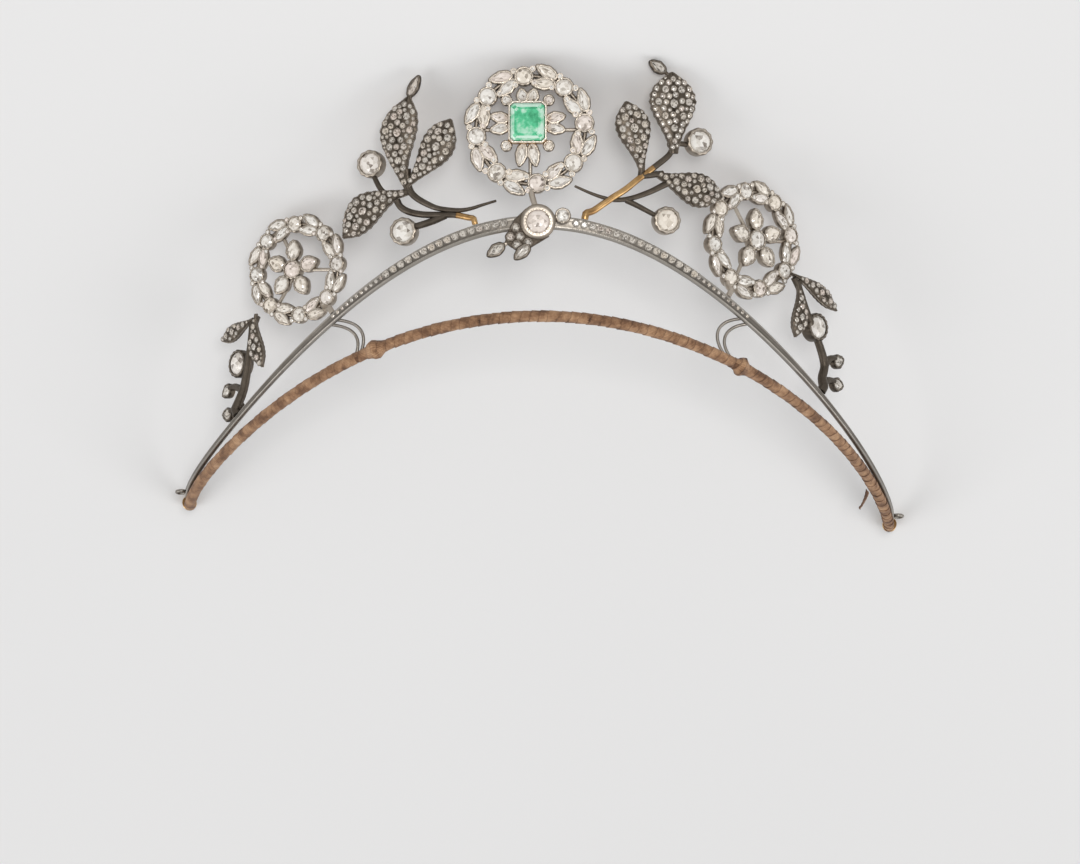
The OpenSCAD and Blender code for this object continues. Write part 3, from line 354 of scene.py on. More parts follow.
def ribbonFinish(look):
    mat, tree, shader = newFinish("silkRibbon", look["light"], 0.0, 0.75)
    split = tree.nodes.new("ShaderNodeSeparateXYZ")
    tree.links.new(attribute(tree, "weave", "Vector"), split.inputs[0])
    ribs, threads = (
        maths(tree, "SINE", maths(tree, "MULTIPLY", split.outputs[axis], look[count] * 2 * math.pi))
        for axis, count in (("X", "rib"), ("Y", "thread")))
    cross = maths(tree, "MULTIPLY_ADD", ribs, 0.6, threads)
    both = maths(tree, "MULTIPLY_ADD", cross, 0.09, spots(tree, look["wear"], 4.0, 0.65))
    # the ribs' and threads' crests get a painted highlight and their troughs painted shade, and wear mottles
    # both
    colour = ramp(tree, both, [(0.34, look["dark"]), (0.54, look["light"]), (0.74, look["highlightAndWear"])])
    # painted shade: each turn is darker along the edge that the next one covers
    edge = ramp(tree, split.outputs["Y"], [(0.0, look["edge"]), (0.16, (1, 1, 1)), (0.9, (1, 1, 1))])
    tree.links.new(multiplied(tree, colour, edge, 1.0), shader.inputs["Base Color"])
    shader.inputs["Sheen Weight"].default_value = look["sheen"]
    shader.inputs["Sheen Roughness"].default_value = 0.5
    roughen(tree, shader, maths(tree, "ADD", cross, spots(tree, look["fuzz"], 2.0, 0.6)), 0.5, 0.00012)
    return mat


# the edge colour is painted shade along each turn's covered edge
ribbonSilk = ribbonFinish({
    # the brightest colour is a painted highlight on the weave's crests, mixed with wear
    "light": (0.39, 0.21, 0.105), "dark": (0.11, 0.046, 0.02), "highlightAndWear": (0.63, 0.40, 0.235),
    "edge": (0.4, 0.34, 0.3), "thread": 4.2, "rib": 3.0, "wear": 320, "fuzz": 4200, "sheen": 0.12})


def paperFinish():
    mat, tree, shader = newFinish("paleFloor", (0.80, 0.80, 0.81), 0.0, 0.9)
    colour = ramp(tree, spots(tree, 3, 2.0, 0.5), [(0.3, (0.76, 0.763, 0.77)), (0.7, (0.785, 0.788, 0.795))])
    tree.links.new(colour, shader.inputs["Base Color"])
    return mat


floorSize = 4.0
floorMesh = bpy.data.meshes.new("floor")
floorMesh.from_pydata([(x * floorSize, y * floorSize, 0) for x, y in ((-1, -1), (1, -1), (1, 1), (-1, 1))],
                      [], [(0, 1, 2, 3)])
floorMesh.materials.append(paperFinish())
linked("floor", floorMesh)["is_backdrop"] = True
print("finishes mixed, floor laid")


# Meshes
still = np.eye(4)  # a shape that is already in its place


def newPiece(*finishes):
    return {"points": [], "faces": [], "finish": [], "tone": [], "paintedFacetLight": [], "tint": [], "weave": [],
            "count": 0, "finishes": finishes}


def add(piece, shape, at=still, finish=0, tint=0.0):
    points = shape["points"] @ at[:3, :3].T + at[:3, 3]
    first, count = piece["count"], len(shape["faces"])
    piece["points"].append(points)
    piece["faces"].extend(tuple(i + first for i in f) for f in shape["faces"])
    piece["finish"].extend(shape.get("kinds", [finish] * count))
    piece["paintedFacetLight"].extend(shape.get("paintedFacetLight", [1.0] * count))
    piece["tint"].extend([tint] * count)
    piece["tone"].append(np.asarray(shape.get("tone", [0.5] * len(points)), float))
    piece["weave"].append(np.asarray(shape.get("weave", np.zeros((len(points), 3))), float))
    piece["count"] += len(points)


def mark(mesh, name, kind, domain, values, field="value"):
    mesh.attributes.new(name, kind, domain).data.foreach_set(field, np.asarray(values, np.float32).ravel())


def build(piece, name, replaced, sharp=40, smooth=True):
    mesh = bpy.data.meshes.new(name)
    mesh.from_pydata(laid(np.vstack(piece["points"])).tolist(), [], piece["faces"])
    for mat in piece["finishes"]:
        mesh.materials.append(mat)
    mesh.polygons.foreach_set("material_index", np.array(piece["finish"], np.int32))
    mark(mesh, "tone", "FLOAT", "POINT", np.concatenate(piece["tone"]))
    # each stone facet's painted light and shade
    mark(mesh, "paintedFacetLight", "FLOAT", "FACE", piece["paintedFacetLight"])
    mark(mesh, "tint", "FLOAT", "FACE", piece["tint"])
    weave = np.vstack(piece["weave"])
    if weave.any():
        mark(mesh, "weave", "FLOAT_VECTOR", "POINT", weave, "vector")
    mesh.polygons.foreach_set("use_smooth", np.full(len(mesh.polygons), smooth))
    if smooth:
        mesh.set_sharp_from_angle(angle=math.radians(sharp))
    mesh.update()
    obj = linked(name, mesh)
    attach(obj, "root")
    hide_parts(replaced)
    print("made", name, sum(len(p) - 2 for p in piece["faces"]), "triangles")


def buildStones(piece, node):
    build(piece, node + "_cut", node, smooth=False)


def loft(rings, closedEnds=True, tones=None):  # skins rings of as many points each
    n, m = len(rings), len(rings[0])
    faces = [(i * m + j, i * m + (j + 1) % m, (i + 1) * m + (j + 1) % m, (i + 1) * m + j)
             for i in range(n - 1) for j in range(m)]
    if closedEnds:
        faces.append(tuple(range(m - 1, -1, -1)))
        faces.append(tuple((n - 1) * m + j for j in range(m)))
    shape = {"points": np.vstack(rings), "faces": faces}
    if tones is not None:
        shape["tone"] = np.repeat(tones, m) if len(tones) == n else tones
    return shape


def circle(middle, u, v, count, first=0.0):  # points round a middle, u and v being its two radii
    return np.array([middle + math.cos(w) * u + math.sin(w) * v
                     for w in (2 * math.pi * (j + first) / count for j in range(count))])


def flatRing(r, z, count, first=0.0):
    return circle(vec(0, 0, z), vec(r, 0, 0), vec(0, r, 0), count, first)


def smoothLine(points, parts):  # a smooth line through points
    p = [np.asarray(q, float) for q in points]
    n = len(p) - 1
    out = []
    for i in range(n):
        a, b, c, d = p[max(i - 1, 0)], p[i], p[i + 1], p[min(i + 2, n)]
        for k in range(parts):
            t = k / parts
            out.append(0.5 * (2 * b + (c - a) * t + (2 * a - 5 * b + 4 * c - d) * t * t
                              + (3 * b - a - 3 * c + d) * t ** 3))
    out.append(p[n])
    return out


def tube(path, radii, sides=10, side=None, tones=None):  # a wire along a line
    n = len(path)
    rings = []
    u = unit(np.asarray(side, float)) if side is not None else None
    for i in range(n):
        t = unit(path[min(i + 1, n - 1)] - path[max(i - 1, 0)])
        if u is None:
            u = unit(np.cross(t, (0.3, 0.2, 0.9)))
        u = unit(u - (u @ t) * t)
        r = radii[i] if hasattr(radii, "__len__") else radii
        rings.append(circle(path[i], r * u, r * np.cross(u, t), sides))
    return loft(rings, True, tones if tones is not None else [0.6] * n)


def ringWire(radius, r, around=72, sides=8, z=0.0, tone=0.4):
    section = circle(vec(radius, 0, z), vec(r, 0, 0), vec(0, 0, r), sides)
    points = np.vstack([section @ turnZ(360 * i / around)[:3, :3].T for i in range(around)])
    faces = [(i * sides + j, (i + 1) % around * sides + j, (i + 1) % around * sides + (j + 1) % sides,
              i * sides + (j + 1) % sides) for i in range(around) for j in range(sides)]
    return {"points": points, "faces": faces, "tone": [tone] * len(points)}


def makeGrain(sides=6):  # a small dome of metal, pushed over a stone's edge
    points = np.vstack([flatRing(1, -0.5, sides), flatRing(0.86, 0.45, sides, 0.5), [(0, 0, 1)]])
    faces = []
    for j in range(sides):
        k = (j + 1) % sides
        faces += [(j, k, sides + j), (k, sides + k, sides + j), (sides + j, sides + k, 2 * sides)]
    return {"points": points, "faces": faces, "tone": [0.25] * sides + [0.95] * (sides + 1)}


grainShape = makeGrain()


def grain(piece, at, x, y, z, r, finish=0):
    small = at @ shiftBy(x, y, z)
    small[:3, :3] *= r
    add(piece, grainShape, small, finish)


# Stones
cut = {"table": 0.56, "crown": 0.34, "depth": 0.72, "kite": 0.8, "kiteHeight": 0.19, "edge": 0.025,
       "mid": 0.5, "midDepth": 0.42, "culet": 0.16}
gap, wall = 0.12, 0.35


def outline(a, rx, ry, drawn, share=1.0, grow=0.0):
    s, c = sinD(a), cosD(a)
    return (share * rx * c * (1 - drawn * max(s, 0)) + grow * c, share * ry * s + grow * s)


def oldCut(rx, ry, drawn=0.0):
    low, points = min(rx, ry), []

    def ring(angles, share, z):
        points.extend((*outline(a, rx, ry, drawn, share), z * low) for a in angles)
        return len(points) - len(angles)
    mains = [22.5 + 45 * i for i in range(8)]
    kites = [45 * i for i in range(8)]
    fine = [22.5 * i for i in range(16)]
    table = ring(mains, cut["table"], cut["crown"])
    kite = ring(kites, cut["kite"], cut["kiteHeight"])
    top = ring(fine, 1, cut["edge"])
    under = ring(fine, 1, -cut["edge"])
    mid = ring(kites, cut["mid"], -cut["midDepth"])
    tip = ring([0], 0, -cut["depth"])
    culet = ring(mains, cut["culet"], cut["crown"])  # seen through the table
    faces = [tuple(culet + i for i in range(8))]
    for i in range(8):
        j, left, right = (i + 1) % 8, 2 * i + 1, (2 * i + 2) % 16
        faces += [
            (table + i, table + j, culet + j, culet + i),
            (table + i, kite + j, table + j),  # star
            (table + i, kite + i, top + left, kite + j),  # kite
            (kite + i, top + 2 * i, top + left), (kite + j, top + left, top + right),
            (under + 2 * i, mid + i, under + left), (under + left, mid + j, under + right),
            (mid + i, mid + j, under + left), (mid + j, mid + i, tip)]
    faces += [(under + k, under + (k + 1) % 16, top + (k + 1) % 16, top + k) for k in range(16)]
    return {"points": np.array(points), "faces": faces}


rose = {"sides": 6, "ring": 0.6, "ringHeight": 0.3, "height": 0.44}


def roseCut(r):
    sides, m = rose["sides"], 2 * rose["sides"]
    points = np.vstack([flatRing(r, 0, m), flatRing(rose["ring"] * r, rose["ringHeight"] * r, sides),
                        [(0, 0, rose["height"] * r)]])
    faces = [tuple(range(m - 1, -1, -1))]
    for j in range(sides):
        k = m + (j + 1) % sides
        faces += [(2 * j, 2 * j + 1, m + j), (2 * j + 1, (2 * j + 2) % m, k), (2 * j + 1, k, m + j),
                  (m + j, k, m + sides)]
    return {"points": points, "faces": faces}


# painted shade of a dull facet: its least value and its spread
paintedDullFacets = (0.06, 0.24)


def paintFacetLight(shape, low=0.12, high=1.0, power=0.5, dull=0.2):  # painted facet light: a share of the facets is painted dull, the rest bright
    shape["paintedFacetLight"] = [low + (high - low) * dice.random() ** power if dice.random() > dull
                      else paintedDullFacets[0] + paintedDullFacets[1] * dice.random() for _ in shape["faces"]]
    return shape


def setStone(piece, at, rx, ry=None, drawn=0.0):
    shape = paintFacetLight(oldCut(rx, ry or rx, drawn))
    spin = turnZ(dice.uniform(-8, 8)) if drawn == 0 and (ry is None or ry == rx) else still
    add(piece, shape, at @ spin, 0, dice.random())


def setRose(piece, at, r):
    add(piece, paintFacetLight(roseCut(r)), at, 0, dice.random())


# a wire's row: how far outside the stone, its radius, parts round the stone, sides, height, tone
def edgeWire(metal, at, r, row, z=0.0):
    more, thick, around, sides, up, tone = row
    add(metal, ringWire(r + more, thick, around, sides, z + up, tone), at)


def depthOf(r):
    return cut["depth"] * r + 2 * gap + wall


# Settings
collar = {
    "steps": 6, "cutIn": 0.3, "shade": 0.45, "pitch": 1.0, "least": 6,
    "longRim": 1.22, "longDepth": 0.94, "longTop": 0.3, "top": 0.4,
    "grain": 0.17, "smallGrain": 0.13, "grainOut": 0.25, "back": 0.2,
    # from the back up: out from the stone's edge as shares of the whole rim, its wall, the gap, the stone
    # and 1 mm, height as shares of the whole height, 1 mm and the stone, depth of the scallops, tone
    "rows": [((1, -0.32, 0, 0, -0.06), (0, 0, 0), 0, 0.25), ((1, -0.1, 0, 0, -0.04), (0, 0.12, 0), 0, 0.45),
             ((1, -0.12, 0, 0, 0), (0.42, 0, 0), 0, 0.3), ((1, 0, 0, 0, -0.02), (0.54, 0, 0), 0.2, 0.35),
             ((1, 0, 0, 0, 0), (0.796, 0, 0), 0.7, 0.3), ((1, 0, 0, 0, 0), (1, -0.3, 0), 1, 0.35),
             ((1, -0.16, 0, 0, 0), (1, -0.08, 0), 1, 0.3), ((0, 0.45, 0.34, 0, 0), (1, 0.04, 0), 0.3, 0.75),
             ((0, 0, 0.3, 0, 0), (1, 0.02, 0), 0, 0.6), ((0, 0, 0, -0.03, 0), (1, 0, -0.3), 0, 0.05)],
}


def collet(piece, at, rx, ry=None, drawn=0.0, rim=wall, scallops=None, plain=False, front=0):
    c, ry = collar, ry or rx
    low = min(rx, ry)
    isLong = ry != rx or drawn > 0
    whole = (gap + rim) * (c["longRim"] if isLong else 1)
    depth = depthOf(low) * (c["longDepth"] if isLong else 1)
    topZ = cut["crown"] * low * (c["longTop"] if isLong else c["top"])
    count = scallops or max(c["least"], round(math.pi * (rx + ry) / c["pitch"]))
    n = count * c["steps"]
    angles = [360 * i / n for i in range(n)]
    waves = [0 if plain else 0.5 - 0.5 * cosD(count * a) for a in angles]
    rings = [[(*outline(a, rx, ry, drawn, c["back"]), -depth) for a in angles]]
    tones = [0.2] * n
    for outward, upward, bite, tone in c["rows"]:
        out = np.dot(outward, (whole, rim, gap, low, 1))
        z = np.dot(upward, (depth + topZ, 1, low)) - depth
        rings.append([(*outline(a, rx, ry, drawn, 1, out - bite * wave * c["cutIn"] * rim), z)
                      for a, wave in zip(angles, waves)])
        tones += [tone * (1 - c["shade"] * bite * wave) for wave in waves]
    shape = loft(rings, False, tones)
    shape["faces"].insert(0, tuple(range(n - 1, -1, -1)))
    shape["kinds"] = [1] * (2 * n + 1) + [front] * ((len(rings) - 3) * n)  # its back is gold
    add(piece, shape, at)
    for i in range(0 if plain else count):
        x, y = outline(360 * i / count, rx, ry, drawn, 1, c["grainOut"] * rim)
        grain(piece, at, x, y, topZ + 0.02, c["grain"] if low > 1 else c["smallGrain"], front)


def jewel(metal, stones, at, *size, **more):  # a stone in its collet
    collet(metal, at, *size, **more)
    setStone(stones, at, *size)


# Upper band, core wire, struts, caps and eyelets
bandMake = {
    "last": 88.8, "stations": 260, "coreR": 0.7, "coreParts": 150,
    "rowFrom": 5.4, "rowTo": 24, "rowUp": 0.14, "stone": 0.72, "stoneWire": (0.04, 0.09, 20, 5, 0.02, 0.9),
    "fine": 0.42, "fineCount": 11, "fineStep": 0.86, "sunk": 0.02,
    "beads": 62, "beadUp": (-0.32, 0.45), "beadOut": 0.485, "beadR": 0.17, "beadMore": (0.4, 0.6),
    # a strut: side, angle at its top and foot, and twice its direction there, sideways and up
    "strutR": 0.36, "strutReach": 9, "strutParts": 28,
    "struts": [(-1, 34, 29.3, 0.8, -0.02, 0.22, 0.46), (-1, 35, 30.2, 0.78, -0.04, 0.2, 0.42),
               (1, 33.7, 30.7, 0.84, 0, 0.42, 0.5), (1, 34.8, 32.3, 0.82, -0.03, 0.46, 0.42)],
    # a cap's profile: shares of its radius along the band's end and round it
    "capR": 1.6, "capShare": 0.42, "capSides": 28,
    "cap": [(-0.995, 0.08), (-0.96, 0.28), (-0.86, 0.51), (-0.7, 0.71), (-0.5, 0.866), (-0.25, 0.968), (0, 1),
            (0.3, 1), (0.36, 0.94), (0.5, 0.92), (0.62, 0.94), (0.68, 0.99), (0.84, 0.99), (0.9, 0.92),
            (1.3, 0.9), (1.42, 0.93), (1.5, 0.99), (1.64, 0.99), (1.7, 0.9)],
    "eyelets": [-83.5, 86], "holeR": 0.75, "rim": 0.6, "thick": 0.8,
}
# the band's section: shares of its thickness outward and of its height upward, and how worn it is
bandSection = [
    (-0.3, -0.5, 0.6), (0.0, -0.5, 0.5), (0.3, -0.5, 0.8), (0.44, -0.4, 1.0), (0.5, -0.3, 0.9),
    (0.47, -0.22, 0.35), (0.47, 0.0, 0.55), (0.47, 0.22, 0.35), (0.5, 0.32, 0.9), (0.46, 0.42, 1.0),
    (0.36, 0.5, 0.8), (0.0, 0.5, 0.5), (-0.3, 0.5, 0.6), (-0.42, 0.42, 0.8), (-0.5, 0.32, 0.5),
    (-0.5, 0.0, 0.3), (-0.5, -0.32, 0.5), (-0.42, -0.42, 0.8)]


def bandRing(a):
    t, o, b = axesAt(upPoint, a)
    p = upPoint(a)
    return np.array([p + x * stand["bandThick"] * o + y * bandHeightAt(a) * b for x, y, _ in bandSection])


def bandPlaces(side):
    k, pitch = bandMake, bandMake["stone"] * 2 + gap * 1.6
    length = (stand["halfWidth"] + stand["upperOut"]) * (sinD(k["rowTo"]) - sinD(k["rowFrom"]))
    for a in np.linspace(k["rowFrom"], k["rowTo"], math.floor(length / pitch) + 1):
        yield onBand(side * a, (stand["bandThick"] + gap) / 2, k["rowUp"])


def bezier(p, t):
    return (1 - t) ** 3 * p[0] + 3 * (1 - t) ** 2 * t * p[1] + 3 * (1 - t) * t * t * p[2] + t ** 3 * p[3]


def strutPath(side, aTop, aFoot, x1, z1, x2, z2):
    top, foot = upPoint(side * aTop), lowPoint(side * aFoot)
    reach, parts = bandMake["strutReach"], bandMake["strutParts"]
    ends = [top, top + reach * vec(-side * x1, 0, z1), foot + reach * vec(-side * x2, 0, z2), foot]
    return [bezier(ends, i / parts) for i in range(parts + 1)]


def makeFrame():
    k = bandMake
    piece = newPiece(bandSilver, gold)
    angles = np.linspace(-k["last"], k["last"], k["stations"] + 1)
    add(piece, loft([bandRing(a) for a in angles], True, [s[2] for s in bandSection] * len(angles)))
    core = [lowPoint(a) for a in np.linspace(-k["last"], k["last"], k["coreParts"] + 1)]
    add(piece, tube(core, k["coreR"], 12))
    for row in k["struts"]:
        add(piece, tube(strutPath(*row), k["strutR"], 10, side=(0, 1, 0)))
    for side in (-1, 1):  # a wire round each stone, and fine beads along both edges of the row
        for at in bandPlaces(side):
            edgeWire(piece, at, k["stone"], k["stoneWire"])
        for up in k["beadUp"]:
            for a in np.linspace(k["rowFrom"] - k["beadMore"][0], k["rowTo"] + k["beadMore"][1], k["beads"]):
                grain(piece, onBand(side * a, stand["bandThick"] * k["beadOut"], up), 0, 0, 0, k["beadR"])
    for side in (-1, 1):  # a turned cap on each end, with two collars
        low, r = lowPoint(side * 90), k["capR"]
        back = unit(lowPoint(side * 87) - low)
        middle = low + (upPoint(side * 90) - low) * k["capShare"]
        u = unit(np.cross(back, (0, 1, 0)))
        rings = [circle(middle + back * r * z, r * q * u, r * q * np.cross(back, u), k["capSides"])
                 for z, q in k["cap"]]
        add(piece, loft(rings, True, [0.8 if q > 0.95 else 0.35 for _, q in k["cap"]]), finish=1)
    for a in k["eyelets"]:
        t, o, b = axesAt(upPoint, a)
        middle = k["holeR"] + k["rim"] / 2
        ring = ringWire(middle, 1.0, 40, 12, 0, 0.7)
        # the ring's wire is as high as the eyelet is thick, and as wide as its rim
        points = ring["points"]
        far = np.hypot(points[:, :1], points[:, 1:2])
        points[:, :2] *= (middle + (far - middle) * k["rim"] / 2) / far
        points[:, 2] *= k["thick"] / 2
        spot = upPoint(a) + o * (stand["bandThick"] / 2 + k["holeR"] + 0.3 * k["rim"])
        add(piece, ring, placed(o, np.cross(b, o), b, spot))
    build(piece, "bands_and_struts", "frame")


makeFrame()
for side, name in ((-1, "band_stones_left"), (1, "band_stones_right")):
    k, stones = bandMake, newPiece(shadedDiamond)
    for at in bandPlaces(side):
        setStone(stones, at, k["stone"])
    for i in range(k["fineCount"]):  # finer stones let into the band go on to the struts
        a = side * (k["rowTo"] + k["fineStep"] * (i + 1))
        setRose(stones, onBand(a, stand["bandThick"] / 2 - k["sunk"], k["rowUp"]), k["fine"])
    buildStones(stones, name)

# Ribbon
ribbonMake = {
    "inner": (0.7 + gap * 1.2) / math.cos(math.pi / 8), "wall": 0.4, "wallShare": 0.96, "end": 85.628,
    "swell": 0.7, "bunches": [(-26.4, 1.0), (33, 0.7)], "joints": (-29.75, 31.5),
    "turn": 2.1, "width": 3.4, "over": 0.2, "steps": 22, "across": 5, "tighten": 1.2,
    # each turn has its own lean, pitch and puff
    "turns": 400, "lean": (-0.25, 0.25), "vary": (0.8, 1.2), "puff": (-0.05, 0.03),
    "ripple": 0.035, "crumple": 0.11,
    "below": 0.55, "belowSides": 16, "belowStep": 0.8,
}


def bunchAt(a):
    swell = 1.0
    for at, spread in ribbonMake["bunches"]:
        swell *= 1 + ribbonMake["swell"] * math.exp(-((a - at) / spread) ** 2)
    return swell


arcTable = np.arange(-88, 88.1, 0.25)
arcPoints = np.array([lowPoint(a) for a in arcTable])
arcLength = np.concatenate([[0], np.cumsum(np.linalg.norm(np.diff(arcPoints, axis=0), axis=1))])


def angleAtLength(s):
    return float(np.interp(s, arcLength, arcTable))


def makeRibbon(node, aFrom, aTo, seed):
    k, roll = ribbonMake, random.Random(seed)
    piece = newPiece(ribbonSilk)
    start, stop = np.interp([aFrom, aTo], arcTable, arcLength)
    width, over, steps, across = k["width"], k["over"], k["steps"], k["across"]
    rIn, rOut = k["inner"], k["inner"] + k["wall"] * k["wallShare"]
    leans, vary, puffs = (
        [roll.uniform(*k[key]) for _ in range(k["turns"])] for key in ("lean", "vary", "puff"))
    s = start - width * 0.4
    points, weave, m = [], [], across + 2
    while s < stop:
        row = len(points) // m
        i, blend = row // steps, row % steps / steps
        th = 2 * math.pi * blend
        s += k["turn"] * vary[i] / steps / (1 + k["tighten"] * (bunchAt(angleAtLength(s)) - 1))
        lean = (leans[i] * (1 - blend) + leans[i + 1] * blend) * math.sin(th + i)
        puff = puffs[i] * (1 - blend) + puffs[i + 1] * blend
        for w in range(-1, across + 1):
            share = max(w, 0) / across
            a = angleAtLength(min(max(s + lean + share * width, start), stop))
            t, o, b = axesAt(lowPoint, a)
            swell = bunchAt(a)
            ripple = (k["ripple"] * math.sin(2.3 * th + i * 1.7)
                      + k["crumple"] * (swell - 1) * math.sin(3 * th + i * 2.1))
            r = rIn + (rOut * swell - rIn) * (1 + puff) + ripple - over * share - (over * 0.9 if w < 0 else 0)
            weave.append((2 * math.pi * rOut / steps * row, share * width, 0))
            points.append(lowPoint(a) + r * (math.cos(th) * o + math.sin(th) * b))
    faces = [(i * m + j, i * m + j + 1, (i + 1) * m + j + 1, (i + 1) * m + j)
             for i in range(len(points) // m - 1) for j in range(m - 1)]
    add(piece, {"points": np.array(points), "faces": faces, "weave": weave})
    # the layers below, which close the winding
    inner = []
    for s in np.linspace(start, stop, max(8, int((stop - start) / k["belowStep"])) + 1):
        a = angleAtLength(s)
        t, o, b = axesAt(lowPoint, a)
        r = rIn + (rOut * bunchAt(a) - rIn) * k["below"]
        inner.append(circle(lowPoint(a), r * o, r * b, k["belowSides"]))
    add(piece, loft(inner))
    build(piece, node + "_wound", node, sharp=50)


makeRibbon("ribbon_left", -ribbonMake["end"], ribbonMake["joints"][0], 11)
makeRibbon("ribbon_middle", *ribbonMake["joints"], 12)
makeRibbon("ribbon_right", ribbonMake["joints"][1], ribbonMake["end"], 13)

tailMake = {"at": 70, "length": 4, "width": 1.7, "thick": 0.5, "narrow": 0.55, "back": 0.35, "aside": 0.2,
            "parts": 16, "across": 7, "wave": 0.09, "half": 0.08, "fray": 0.06, "threads": 9, "thread": 0.05}


def makeTail():
    tail, roll = tailMake, random.Random(5)
    piece = newPiece(ribbonSilk)
    t, o, b = axesAt(lowPoint, tail["at"])
    root = (lowPoint(tail["at"]) - b * 0.4
            - o * (ribbonMake["inner"] + ribbonMake["wall"] + gap + tail["thick"] / 2))

    def middle(s):
        return root + tail["length"] * (-b * s - o * s * s * tail["back"] + t * s * tail["aside"])
    rings, weave = [], []
    across = tail["across"]
    for i in range(tail["parts"] + 1):
        s = i / tail["parts"]
        half = tail["width"] * (1 - tail["narrow"] * s) / 2
        row = []
        for j in range(2 * across):
            front = j < across
            x = (j if front else 2 * across - 1 - j) / (across - 1) * 2 - 1
            lift = tail["wave"] * math.sin(2.5 * x + 4 * s) + (tail["half"] if front else -tail["half"])
            edge = tail["fray"] * math.sin(31 * s + x) if abs(x) > 0.9 else 0
            row.append(middle(s) + (half * x + edge) * t + lift * o)
            weave.append((s * tail["length"], x, 0))
        rings.append(row)
    shape = loft(rings)
    shape["weave"] = weave
    add(piece, shape)
    for i in range(tail["threads"]):  # its frayed end
        x = (i / (tail["threads"] - 1) * 2 - 1) * tail["width"] * 0.2
        base = middle(1) + t * x + b * 0.3
        bend = base - b * 0.35 + t * roll.uniform(-0.1, 0.1)
        end = base - b * roll.uniform(0.35, 0.5) + t * roll.uniform(-0.25, 0.25) + o * roll.uniform(-0.1, 0.1)
        path = smoothLine([base, bend, end], 3)
        add(piece, tube(path, tail["thread"], 5))
    build(piece, "ribbon_tail_frayed", "ribbon_tail")


makeTail()

# Flowers
wreathMake = {"count": 8, "phase": 7, "drop": 0.75, "wire": 0.5,
              "leafDrawn": 0.5, "leafTurn": 16, "leafStep": 0.76, "leafX": 0.58, "leafShare": 0.96,
              "fill": 0.3, "fillOut": 0.85, "fillAside": 1.2, "fillLift": 0.15,
              "fillWire": (0.05, 0.13, 14, 6, -0.05, 0.6), "fillFoot": (-0.1, -0.9), "footShare": 0.6,
              "stemR": 0.65, "footRise": 1.4, "spokeR": 0.45}
pairs = [(x, y) for x in (-1, 1) for y in (-1, 1)]


def bandFoot(a, rise):
    t, o, b = axesAt(upPoint, a)
    return upPoint(a) + (bandHeightAt(a) / 2 + gap + rise) * b


# a flower's row: angle, rise share, set back, its stem's foot, where the stem starts, turn aside, size
def flowerAt(row):
    return onOrnament(*row[:3]) @ turnY(row[5]) @ np.diag([row[6], row[6], row[6], 1.0])


def flowerStem(metal, row, r):
    w, turned = wreathMake, onOrnament(row[0], 0) @ turnY(row[5])
    out = sinD(row[4]) * turned[:3, 0] - cosD(row[4]) * turned[:3, 1]
    top = spotAt(row[0], row[1], row[2] + w["drop"]) + out * r * row[6]
    low = bandFoot(row[3], w["footRise"])
    bend = (top + out * w["footRise"]) * 0.7 + low * 0.3
    path = smoothLine([top, bend, low], 6) + [bandFoot(row[3], 0)]
    add(metal, tube(path, w["stemR"], 12, side=outPlan(row[0])))


def wreath(metal, stones, at, r, stone):
    w = wreathMake
    step, size = 360 / w["count"], w["fill"] * stone
    room = math.pi * r / w["count"] - (stone + gap + wall)
    add(metal, ringWire(r, w["wire"], 96, 10, -w["drop"], 0.3), at)
    for i in range(w["count"]):
        turned = step * i + w["phase"]
        jewel(metal, stones, at @ turnZ(turned) @ shiftBy(r, 0), stone)
        for side, out in pairs:  # grains of diamond fill the notches beside each round stone
            far = r + out * w["fillOut"] * stone
            notch = (at @ turnZ(turned + math.degrees(side * w["fillAside"] * stone / far))
                     @ shiftBy(far, 0, w["fillLift"]))
            setRose(stones, notch, size)
            edgeWire(metal, notch, size, w["fillWire"])
            ends = [vec(0, 0, z) for z in w["fillFoot"]]
            add(metal, tube(ends, [size, size * w["footShare"]], side=(1, 0, 0)), notch)
        for side in (-1, 1):
            spot = at @ turnZ(turned + step / 2) @ shiftBy(r + side * w["leafStep"] * stone, 0)
            jewel(metal, stones, spot @ turnZ(-side * w["leafTurn"]),
                  w["leafX"] * stone, room * w["leafShare"], w["leafDrawn"])


def spokes(metal, at, start, stop, angles):
    w = wreathMake
    for a in angles:
        path = [vec(x, 0, -w["drop"]) for x in np.linspace(start, stop, 5)]
        add(metal, tube(path, w["spokeR"], 10, side=(0, 0, 1)), at @ turnZ(a))


centreMake = {
    "row": (-1.5, 0.56, 2, -0.6, 0, 0, 1), "wreathR": 11.7, "stone": 1.74, "shift": (-0.6, 1.45),
    # petal stones on each side: turn from the top, whether above or below, half length
    "sides": [(0, 1, 1.25), (90, 0, 1.75), (180, 1, 2.2), (270, 0, 1.75)],
    "spread": 11, "apart": 0.7, "petalX": 0.92, "petalDrawn": 0.45, "corner": 0.85, "cornerOut": 0.85,
    # the green stone's steps: share of its outline, height as a share of its width
    "emerald": (7.4, 8.2), "bevel": 0.1, "seat": 1.3,
    "steps": [(0.64, 0.15), (0.76, 0.125), (0.88, 0.08), (0.985, 0.012), (1, 0), (0.98, -0.02), (0.84, -0.09),
              (0.62, -0.185), (0.3, -0.3)],
    "claw": 0.22, "clawUp": 0.26, "clawOut": 0.06, "clawIn": 0.93,
    "claws": [(-1, -1), (-1, 0.34), (-1, -0.34), (1, -0.34), (1, 0.34), (-1, 1), (1, -1), (1, 1),
              (-0.34, 1), (0.34, 1), (-0.34, -1), (0.34, -1)],
}


def stepRing(w, h, z):
    c = min(w, h) * centreMake["bevel"]
    x, y = w / 2, h / 2
    return np.array([(x, y - c, z), (x - c, y, z), (-x + c, y, z), (-x, y - c, z),
                     (-x, -y + c, z), (-x + c, -y, z), (x - c, -y, z), (x, -y + c, z)])


